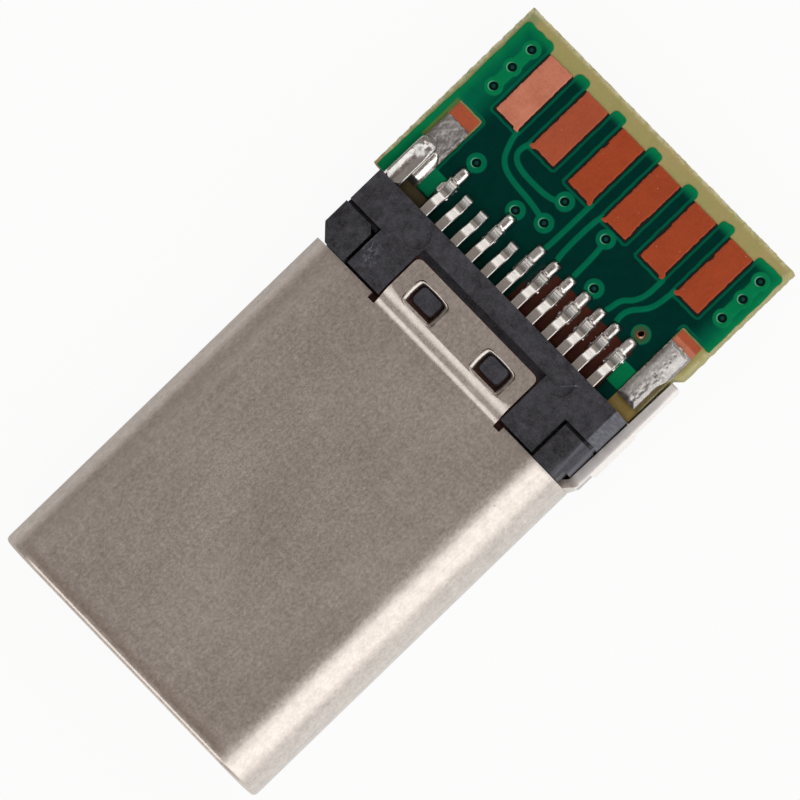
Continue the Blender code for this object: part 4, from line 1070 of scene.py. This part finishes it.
def lacquer(top):
    """Green lacquer: near black over bare board, green over copper, brighter towards the film's edges."""
    look = bpy.context.scene.plug_board
    s = Shader("upper_lacquer" if top else "lower_lacquer", Specular_IOR_Level=0.02)
    vector, (x, y, _) = s.place()
    mottle = s.noise(vector, 3.2, 4.0, 0.6)
    fine = s.noise(vector, 26.0, 3.0, 0.6)
    specks = s.spots(vector, 5.0, 0.045)
    over = 1 - s.attribute("copper").step(-0.018, 0.022)
    quiet = (1 - y.step(13.58, 13.68)) * x.within(-3.20, 3.20, 0.03)
    quiet = s.highest(quiet, (1 - y.step(14.30, 14.42)) * x.within(3.16, 3.36, 0.03))
    rim = s.attribute("rim").within(-0.066, -0.030, 0.026) * (1 - quiet)
    from_left, from_right, from_tip = x - film_low[0], film_high[0] - x, finger_tip - y
    left = 1 - from_left.step(0.35, 1.10)
    right = (1 - from_right.step(0.10, 0.75)) * y.step(14.35, 14.50)
    tips = 1 - from_tip.step(0.04, 0.34)
    glow = s.highest(s.highest(left, right), tips)
    outer = 1 - s.lowest(s.lowest(from_left, from_tip), from_right).step(0.0, 0.30)
    green = s.tint(look.lacquer_copper, 0.95 + (mottle - 0.5) * 0.35 + (fine - 0.5) * 0.20)
    dark = s.tint(look.lacquer_dark, 0.95 + (mottle - 0.5) * 0.50 + (fine - 0.5) * 0.40)
    bright = s.tint(look.lacquer_edge, 0.95 + (mottle - 0.5) * 0.40)
    colour = s.mix(glow * 0.86, dark, green)
    colour = s.mix(over, colour, green)
    colour = s.mix(rim * 0.62, colour, green)
    colour = s.mix(outer * 0.62, colour, bright)
    bands = x.within(-3.90, -3.62, 0.03) * y.within(15.26, 16.46, 0.02)
    bands = bands + x.within(3.62, 3.91, 0.03) * y.within(15.28, 16.48, 0.02)
    corners = 1 - s.nearest(vector, left_vias + right_vias).step(0.205, 0.235)
    colour = s.mix(s.highest(bands, corners) * 0.50, colour, bright)
    for (x0, y0, x1, y1), share in zip(green_blocks, (0.30, 0.45)):
        block = x.within(x0 + 0.01, x1 - 0.01, 0.015) * y.within(y0 + 0.01, y1 - 0.01, 0.015)
        colour = s.mix(block * share, colour, bright)
    reach = s.nearest(vector, via_centres())
    around = 1 - reach.step(0.12, 0.17)
    colour = s.mix(around * 0.35, colour, bright)
    hole = 1 - reach.step(0.100, 0.125)
    core = 1 - reach.step(0.022, 0.065)
    lit = s.nearest(vector, [(a - 0.018, b - 0.014) for a, b in via_centres()]).within(0.098, 0.112, 0.010)
    colour = s.mix(hole, colour, look.hole)
    colour = s.mix(core * 0.50, colour, look.hole_core)
    colour = s.mix(lit * reach.step(0.098, 0.112) * 0.45, colour, look.glint)
    open_ring = 1 - s.nearest(vector, [open_via]).step(0.17, 0.23)
    colour = s.mix(open_ring * 0.55, colour, look.stained)
    thin = x.within(-4.13, -4.03, 0.03) * y.within(13.35, 14.46, 0.05)
    colour = s.mix(thin * 0.75, colour, look.lacquer_thin)
    colour = s.mix(specks * 0.30, colour, look.lacquer_edge)
    s.set("Base Color", colour)
    s.set("Roughness", 0.32 + (mottle - 0.5) * 0.15)
    s.bump(mottle * 0.4 + fine * 0.25, 0.004, 0.5)
    return s.material


def bare_copper():
    """Bare copper pads: a fine brushed grain, slight tarnish, the first pad paler, and a painted highlight in
    the open hole.
    """
    look = bpy.context.scene.plug_board
    s = Shader("bare_copper", Specular_IOR_Level=0.3, Metallic=0.25)
    vector, (x, y, _) = s.place()
    grain = s.noise(vector, 20.0, 4.0, 0.7)
    cloud = s.noise(vector, 1.8, 4.0, 0.6)
    slant = s.noise(s.stretched(vector, (7.0, 2.0, 1.0)), 2.0, 3.0)
    first = (1 - x.step(-2.62, -2.55)) * y.step(14.6, 14.7)
    second = (1 - x.step(-1.40, -1.35)) * y.step(14.6, 14.7) * 0.14
    ends = (1 - y.step(14.5, 14.6)) * 0.16
    ends = ends + y.within(14.0, 14.24, 0.05) * x.step(3.2, 3.3) * (0.30 + cloud * 0.35)
    specks = s.spots(vector, 4.5, 0.06)
    worn = s.noise(s.stretched(vector, (1.0, 2.0, 1.0)), 3.5, 4.0, 0.7).step(0.55, 0.75)
    share = s.highest(first * (0.80 + (cloud - 0.5) * 0.8), second) + ends
    colour = s.mix(share, look.copper, look.copper_pale)
    shade = 1.0 + (grain - 0.5) * 0.46 + (cloud - 0.5) * 0.30 + (slant - 0.5) * 0.18 - worn * 0.06
    # Painted highlight: a bright spot inside the open hole.
    glint = 1 - s.nearest(vector, [(open_via[0] + 0.055, open_via[1] - 0.04)]).step(0.03, 0.06)
    colour = s.mix(s.highest(specks * 0.55, glint), s.tint(colour, shade), look.copper_fleck_and_glint)
    bare = x.step(3.78, 3.82) * (1 - y.step(13.42, 13.50))
    s.set("Base Color", s.mix(bare, colour, s.tint(look.stained, 2.1 + (cloud - 0.5) * 1.5)))
    s.set("Roughness", 0.48 + (grain - 0.5) * 0.25)
    s.bump(grain, 0.005, 0.7)
    return s.material


# What a user may change


def swatch(name, description, default):
    """A colour that a user may change."""
    return FloatVectorProperty(name=name, description=description, subtype="COLOR", size=3, default=default)


class SteelLook(bpy.types.PropertyGroup):
    """Colours and polish of the shell and the inner sheet parts."""

    colour: swatch("Shell", "Colour of the rolled shell", (0.64, 0.59, 0.545))
    spring: swatch("Springs", "Colour of the spring sheet", (0.66, 0.63, 0.60))
    sheared: swatch("Sheared edge", "Colour of the arm's cut edge", (0.78, 0.765, 0.755))
    # Colour of the dark patches on the arm.
    arm_dark_patches: swatch("Smudge", "Colour of dirt on the arm", (0.10, 0.095, 0.09))
    # Warm darker colour of the band just behind the mouth's lip.
    mouth_band: swatch("Mouth stain", "Warm shade of the film behind the mouth's lip", (0.25, 0.125, 0.05))
    roughness: FloatProperty(
        name="Roughness", description="How soft the shell's reflections are", subtype="FACTOR", default=0.37
    )
    edge: FloatProperty(
        name="Eased edge", description="Width of the tab's round edges", unit="LENGTH", default=0.09 * mm
    )


class MouldingLook(bpy.types.PropertyGroup):
    """Colours and polish of the black mouldings."""

    colour: swatch("Plastic", "Colour of the plastic", (0.040, 0.0405, 0.050))
    # Colour of rubbed places, also used for the painted sheen on the right-hand corners.
    scuffs_and_sheen: swatch("Scuffs", "Colour of rubbed places", (0.205, 0.215, 0.26))
    # Warm brown painted as shade in the gaps and recesses.
    warm_gap_shade: swatch("Oil", "Brown of old oil in the gaps", (0.11, 0.034, 0.020))
    roughness: FloatProperty(
        name="Roughness", description="How soft the plastic's sheen is", subtype="FACTOR", default=0.5
    )
    edge: FloatProperty(
        name="Eased edge", description="Width of the moulded edges' radius", unit="LENGTH", default=0.04 * mm
    )


class BoardLook(bpy.types.PropertyGroup):
    """Colours of the wire board, its lacquer and its copper."""

    laminate: swatch("Laminate", "Colour of the bare board", (0.375, 0.345, 0.130))
    laminate_warm: swatch("Warm clouds", "Browner clouds in the board", (0.43, 0.31, 0.135))
    laminate_side: swatch("Left side", "Colour along the left edge", (0.245, 0.285, 0.125))
    cut_edge: swatch("Cut edge", "Colour of the sawn edges", (0.66, 0.62, 0.40))
    browned: swatch("Browned", "Colour between the tails", (0.062, 0.014, 0.007))
    shadow_gap: swatch("Gap", "Colour in the gaps round pads", (0.010, 0.012, 0.010))
    lacquer_dark: swatch("Lacquer", "Lacquer over bare board", (0.0006, 0.032, 0.025))
    lacquer_copper: swatch("Over copper", "Lacquer over copper", (0.001, 0.155, 0.076))
    lacquer_edge: swatch("Lacquer edge", "Thin lacquer at its edges", (0.004, 0.27, 0.080))
    lacquer_thin: swatch("Thin lacquer", "Lacquer beside the left pad", (0.135, 0.17, 0.03))
    hole: swatch("Holes", "Colour in the drilled holes", (0.001, 0.010, 0.010))
    hole_core: swatch("Filled holes", "Colour in the middle of a hole", (0.02, 0.10, 0.08))
    glint: swatch("Hole rims", "Colour of the lit side of a hole", (0.25, 0.62, 0.45))
    stained: swatch("Stained", "Colour of board under old flux", (0.078, 0.060, 0.026))
    amber: swatch("Amber", "Colour of the board in front of the right pad", (0.26, 0.185, 0.055))
    copper: swatch("Copper", "Colour of the bare pads", (0.41, 0.064, 0.0165))
    copper_pale: swatch("Pale copper", "Colour of the first pad", (0.69, 0.26, 0.165))
    # Colour of bright specks and of the painted highlight in the open hole.
    copper_fleck_and_glint: swatch("Copper specks", "Colour of bright specks", (0.75, 0.50, 0.38))


class SolderLook(bpy.types.PropertyGroup):
    """Colours of the solder and the plated contacts."""

    solder: swatch("Solder", "Colour of set solder", (0.82, 0.805, 0.785))
    plating: swatch("Plating", "Colour of the contacts", (0.72, 0.70, 0.67))


class StageLook(bpy.types.PropertyGroup):
    """Light and framing."""

    fill: swatch("Fill", "Colour of the dim room", (0.212, 0.173, 0.152))
    key: FloatProperty(
        name="Side light", description="Brightness of the light on the right", default=1.16
    )
    left: FloatProperty(
        name="Left light", description="Brightness of the weak light on the left", default=0.12
    )
    ends: FloatProperty(
        name="End lights", description="Brightness of the lights before and behind", default=0.95
    )
    lens: FloatProperty(
        name="Lens", description="Focal length of the camera", unit="CAMERA", default=400.0
    )


# Operators


def shell_share(x, y, z):
    """Part of the widest bevel that an edge of the shell gets: full at the windows, less elsewhere."""
    if abs(z) > 1.4 and 10.3 < y < 11.1 and abs(x) < 1.65:
        return 1.0
    if abs(z) > 1.2 and y > 9.7 and abs(x) < 2.2:
        return 0.6
    return 0.4


def leg_share(x, y, z):
    """Part of the widest bevel that an edge of the latch plate gets: full along the soldered legs."""
    return 1.0 if y > 12.1 else 0.22


def worked_shell(points):
    """The shell's corners after forming: windows widened for their rims, the side arm thinned to its tip."""
    x, y, z = points.T.copy()
    centre = np.where(x < 0, -window_side, window_side)
    window = (np.abs(x - centre) < cut_half[0] + 0.025) & (np.abs(y - cut_middle) < cut_half[1] + 0.025)
    window = window & (np.abs(z) > 1.15)
    outer = np.abs(z) > 1.4
    across, along = window_half + np.array([rim_wide, rim_long])
    x = np.where(window & outer, centre + (x - centre) * across / cut_half[0], x)
    y = np.where(window, window_middle + (y - cut_middle) * np.where(outer, along / cut_half[1], 1.0), y)
    inner = (x > 3.9) & (x < 4.0) & (y > arm_root)
    x = np.where(inner, x + arm_thinned * np.clip((y - arm_root) / arm_taper, 0, 1), x)
    return np.stack([x, y, z], axis=-1)


def worked_block(points):
    """A carrier's corners with its right side drawn out to the side arm."""
    x, y, z = points.T.copy()
    return np.stack([np.where(x > block_side, x + block_drawn, x), y, z], axis=-1)


def worked_latch(points):
    """The latch plate's corners with the legs' tips drawn down, as they sink into the solder."""
    x, y, z = points.T.copy()
    tip = (np.abs(x) > 3.2) & (y > leg_bend)
    y = np.where(tip, leg_bend + (y - leg_bend) * 0.55, y)
    z = np.where(tip, z * 0.86, z)
    return np.stack([x, y, z], axis=-1)


class PLUG_OT_shell(bpy.types.Operator):
    """Finishes the drawn and folded shell"""

    bl_idname = "plug.shell"
    bl_label = "Shell"

    def execute(self, context):
        width = context.scene.plug_steel.edge / mm
        metal = steel()
        eased_copy("shell", metal, width, 3, 38, shell_share, worked_shell)
        top = box_mm("shell")[1][2]
        places = [(x, side) for side in (1, -1) for x in (-window_side, window_side)]
        for number, (x, side) in enumerate(places, 1):
            rim = window_rim(f"rim_{number}", (x + rim_shift, window_middle), top, side)
            finish_piece(rim, metal, (), 50)
        return {"FINISHED"}


class PLUG_OT_mouldings(bpy.types.Operator):
    """Finishes the front insulator and the two contact carriers"""

    bl_idname = "plug.mouldings"
    bl_label = "Mouldings"

    def execute(self, context):
        plastic = black_plastic()
        width = context.scene.plug_moulding.edge / mm
        eased_copy("front_insulator", plastic, width, 2, 38)
        for node in ("upper_contact_carrier", "lower_contact_carrier"):
            eased_copy(node, plastic, width, 2, 38, None, worked_block)
        for name, x0, x1 in (("left_ear_web", -4.055, -3.10), ("right_ear_web", 3.10, 3.93)):
            web = lofted(name, web_rings(x0, x1))
            finish_piece(web, plastic)
        return {"FINISHED"}


class PLUG_OT_contacts(bpy.types.Operator):
    """Finishes the contacts, the ground springs and the latch plate"""

    bl_idname = "plug.contacts"
    bl_label = "Contacts and springs"

    def execute(self, context):
        plating = plated()
        for node in contacts:
            eased_copy(node, plating, 0.022, 2, 38)
        sheet_metal = spring_sheet()
        for node in ("upper_ground_spring", "lower_ground_spring"):
            eased_copy(node, sheet_metal, 0.018, 2, 38)
        eased_copy("latch_plate", sheet_metal, 0.085, 3, 38, leg_share, worked_latch)
        return {"FINISHED"}


class PLUG_OT_board(bpy.types.Operator):
    """Makes the glass and resin board with its frayed edges and drilled holes"""

    bl_idname = "plug.board"
    bl_label = "Board"

    def execute(self, context):
        low, high = board_low[:2] - 0.02, board_high[:2] + 0.02
        extra = {"edge": board_distance}
        board = sheet("board", board_distance, low, high, 0.045, board_top, board_bottom, extra)
        finish_piece(board, laminate(), ["circuit_board"], 50)
        return {"FINISHED"}


class PLUG_OT_lacquer(bpy.types.Operator):
    """Makes the lacquer films on both sides of the board"""

    bl_idname = "plug.lacquer"
    bl_label = "Lacquer"

    def execute(self, context):
        low, high = film_low[:2] - (0.10, 0.02), np.array([film_high[0], finger_tip]) + 0.02
        base = film_low[2]
        shape, face = upper_lacquer_distance, upper_lacquer_top
        extra = {"copper": upper_copper_distance, "rim": shape}
        film = sheet("upper_lacquer", shape, low, high, 0.034, face, level(base), extra)
        finish_piece(film, lacquer(True), ["upper_solder_mask"], 60)
        shape, face = lower_lacquer_distance, lower_lacquer_top
        extra = {"copper": lower_copper_distance, "rim": shape}
        film = sheet("lower_lacquer", shape, low, high, 0.045, face, level(-base), extra, -1)
        finish_piece(film, lacquer(False), ["lower_solder_mask"], 60)
        return {"FINISHED"}


class PLUG_OT_copper(bpy.types.Operator):
    """Makes the bare pads and the ring in the open hole"""

    bl_idname = "plug.copper"
    bl_label = "Copper pads"

    def execute(self, context):
        copper = bare_copper()
        foot = level(film_low[2])
        for index, node in enumerate(wire_pads):
            low, high = box_mm(node)
            shape = pad_shape(index)
            top = softened_top(shape, pad_top, 0.02, 0.0006, 70 + index)
            pad = sheet(f"{node}_etched", shape, low[:2] - 0.12, high[:2] + 0.12, 0.024, top, foot)
            finish_piece(pad, copper, [node], 60)
        for node in [f"{a}_ground_pad_{b}" for a in ("upper", "lower") for b in ("left", "right")]:
            eased_copy(node, copper, 0.012, 2, 38)

        def ring(x, y):
            dx, dy = x - open_via[0], y - open_via[1]
            return np.maximum(np.hypot(dx, dy) - 0.150, 0.078 - np.hypot(dx + 0.022, dy - 0.018))

        low, height = np.array(open_via) - 0.18, board_high[2]
        top = softened_top(ring, height + 0.03, 0.02)
        piece = sheet("open_ring", ring, low, low + 0.36, 0.016, top, level(height))
        finish_piece(piece, copper, (), 60)
        return {"FINISHED"}


class PLUG_OT_solder(bpy.types.Operator):
    """Makes the solder on the tails, the legs and the ground pads"""

    bl_idname = "plug.solder"
    bl_label = "Solder"

    def execute(self, context):
        material = molten()
        for node in upper_joints + lower_joints:
            shape, base, number = joint_shape(node), film_low[2], int(node[-2:])
            if node in lower_joints:
                shape, base = under(shape), -base
            dull, tone = 0.35 * (number % 3 == 0), 0.08 * (number % 4)
            self.heap(f"{node}_flow", shape, material, base, [node], dull, tone)
        base = pad_top + 0.003
        skin, coat = leg_skin_shape(), leg_coat_shape()
        fillet, slab = leg_fillet_shape(), pad_solder_shape()
        self.heap("upper_leg_skin", skin, material, base, ["upper_leg_solder"], 0.9, 0.52)
        self.heap("upper_leg_coat", coat, material, base, (), 0.1, 0.32)
        self.heap("upper_leg_fillet", fillet, material, base)
        self.heap("upper_pad_slab", slab, material, base, ["upper_pad_solder"], 0.75, 0.27)
        skin, coat, slab = turned_over(skin, 0.10), turned_over(coat, 0.205), turned_over(slab, 0.06)
        self.heap("lower_leg_skin", skin, material, -base, ["lower_leg_solder"], 0.9, 0.52)
        self.heap("lower_leg_coat", coat, material, -base, (), 0.1, 0.32)
        self.heap("lower_pad_slab", slab, material, -base, ["lower_pad_solder"], 0.75, 0.27)
        return {"FINISHED"}

    def heap(self, name, shape, material, base, replaced=(), dull=0.0, tone=0.0):
        """One heap of solder on a base level, under the board if that is below nought. tone darkens it."""
        distance, top = shape
        x, y = np.meshgrid(np.arange(-4.3, 4.3, 0.02), np.arange(11.9, 14.3, 0.02))
        held = distance(x, y) < 0.02
        low = np.array([x[held].min(), y[held].min()]) - 0.03
        high = np.array([x[held].max(), y[held].max()]) + 0.03
        extra = {"dull": level(dull), "tone": level(tone)}
        piece = sheet(name, distance, low, high, 0.022, top, level(base), extra, 1 if base > 0 else -1)
        finish_piece(piece, material, replaced, 70)


def softbox(name, side, rise, size, brightness):
    """A rectangular lamp that faces the plug, as bright at any size.

    side is its direction over the floor, and rise its angle above the floor in degrees.
    """
    width, height = size
    data = bpy.data.lights.new(name, "AREA")
    data.shape = "RECTANGLE"
    data.size, data.size_y = width, height
    data.energy = 4 * width * height * brightness
    lamp = bpy.data.objects.new(name, data)
    rise = math.radians(rise)
    toward = Vector((side[0] * math.cos(rise), side[1] * math.cos(rise), math.sin(rise))).normalized()
    lamp.location = toward * lamp_distance
    lamp.rotation_euler = toward.to_track_quat("Z", "Y").to_euler()
    lamp.visible_camera = False
    bpy.context.scene.collection.objects.link(lamp)
    return lamp


class PLUG_OT_stage(bpy.types.Operator):
    """Sets the pale floor, the soft light and the camera"""

    bl_idname = "plug.stage"
    bl_label = "Floor, light and camera"

    def execute(self, context):
        look = context.scene.plug_stage
        self.floor()
        self.world(look)
        softbox("side_light", (1.0, -0.1269), 38, (0.62, 0.58), look.key)
        softbox("left_light", (-1.0, 0.0), 40, (0.6, 0.5), look.left)
        softbox("front_light", (-0.1414, -1.0), 45, (0.5, 0.36), look.ends)
        softbox("rear_light", (0.0, 1.0), 45, (0.5, 0.36), look.ends)
        self.camera(look)
        context.scene.view_settings.view_transform = "Standard"
        return {"FINISHED"}

    def floor(self):
        """A plain pale plate that shows white by itself and keeps the plug's shadow. In reflections it shows
        a painted pool of light that brightens towards the right.
        """
        grid = np.linspace(-floor_reach, floor_reach, 5)
        x, y = np.meshgrid(grid, grid)
        points = np.column_stack([x.ravel(), y.ravel(), np.zeros(x.size)])
        floor = put_mesh("floor", (points - origin) / mm, [grid_faces(*x.shape)])
        s = Shader("pale_floor", Roughness=0.8, Specular_IOR_Level=0.0)
        s.set("Base Color", (0.80, 0.80, 0.80))
        path = s.node("ShaderNodeLightPath").outputs
        vector, (x, y, z) = s.place()
        # Painted pool of light: in reflections the floor grows brighter towards the right, where the side
        # light stands.
        lit = 0.10 + x.step(-3.0, 6.0) * 0.95
        mirrored = s.highest(Value(s, path["Is Glossy Ray"]), Value(s, path["Is Transmission Ray"]))
        seen = s.highest(Value(s, path["Is Camera Ray"]), mirrored * lit)
        glow = s.node("ShaderNodeEmission", None, {"Color": (1.0, 1.0, 1.0), "Strength": 1.0})
        halves = {0: seen * 0.93, 1: s.surface.outputs[0], 2: glow.outputs[0]}
        mixed = s.node("ShaderNodeMixShader", None, halves)
        s.tree.links.new(mixed.outputs[0], s.tree.nodes["Material Output"].inputs[0])
        floor.data.materials.append(s.material)

    def world(self, look):
        """A dim even room that the camera sees as white."""
        world = bpy.data.worlds.new("pale_room")
        world.use_nodes = True
        bpy.context.scene.world = world
        tree = world.node_tree
        background = tree.nodes["Background"]
        path = tree.nodes.new("ShaderNodeLightPath")
        mix = tree.nodes.new("ShaderNodeMix")
        mix.data_type = "RGBA"
        mix.inputs[6].default_value = (*look.fill, 1.0)
        mix.inputs[7].default_value = (1.0, 1.0, 1.0, 1.0)
        tree.links.new(path.outputs["Is Camera Ray"], mix.inputs[0])
        tree.links.new(mix.outputs[2], background.inputs[0])

    def camera(self, look):
        """Looks down on the plug, leaning a little to its right, with the plug turned in the picture."""
        lean, tip = math.radians(view_lean), math.radians(view_tip)
        toward = Vector((math.sin(lean), -math.sin(tip), math.cos(lean))).normalized()
        along = (Vector((0, 1, 0)) - toward * toward.y).normalized()
        across = along.cross(toward)
        turn = math.radians(view_turn)
        right = across * math.cos(turn) + along * math.sin(turn)
        up = along * math.cos(turn) - across * math.sin(turn)
        look_at = Vector(origin) + (across * view_middle[0] + along * view_middle[1]) * mm
        data = bpy.data.cameras.new("photo_view")
        data.lens = look.lens
        data.sensor_width = 36.0
        data.clip_start = 0.01
        data.clip_end = 20.0
        camera = bpy.data.objects.new("photo_view", data)
        place = look_at + toward * (view_width * look.lens / data.sensor_width) * mm
        turned = Matrix((right, up, toward)).transposed().to_4x4()
        camera.matrix_world = Matrix.Translation(place) @ turned
        bpy.context.scene.collection.objects.link(camera)
        bpy.context.scene.camera = camera


class PLUG_PT_finishes(bpy.types.Panel):
    """Lists the finishing steps and the values that they read"""

    bl_idname = "PLUG_PT_finishes"
    bl_label = "Plug finishes"
    bl_space_type = "VIEW_3D"
    bl_region_type = "UI"
    bl_category = "Plug"

    def draw(self, context):
        for step in steps:
            self.layout.operator(step.bl_idname)
        for name, group in looks.items():
            column = self.layout.column()
            values = getattr(context.scene, name)
            for key in group.__annotations__:
                column.prop(values, key)


looks = {
    "plug_steel": SteelLook,
    "plug_moulding": MouldingLook,
    "plug_board": BoardLook,
    "plug_solder": SolderLook,
    "plug_stage": StageLook,
}
steps = [
    PLUG_OT_shell,
    PLUG_OT_mouldings,
    PLUG_OT_contacts,
    PLUG_OT_board,
    PLUG_OT_lacquer,
    PLUG_OT_copper,
    PLUG_OT_solder,
    PLUG_OT_stage,
]


def register():
    for item in [*looks.values(), *steps, PLUG_PT_finishes]:
        bpy.utils.register_class(item)
    for name, group in looks.items():
        setattr(bpy.types.Scene, name, PointerProperty(type=group))


def unregister():
    for name in looks:
        delattr(bpy.types.Scene, name)
    for item in [PLUG_PT_finishes, *reversed(steps), *reversed(looks.values())]:
        bpy.utils.unregister_class(item)


def main():
    register()
    bpy.ops.plug.shell()
    bpy.ops.plug.mouldings()
    bpy.ops.plug.contacts()
    bpy.ops.plug.board()
    bpy.ops.plug.lacquer()
    bpy.ops.plug.copper()
    bpy.ops.plug.solder()
    bpy.ops.plug.stage()


if __name__ == "__main__":
    main()
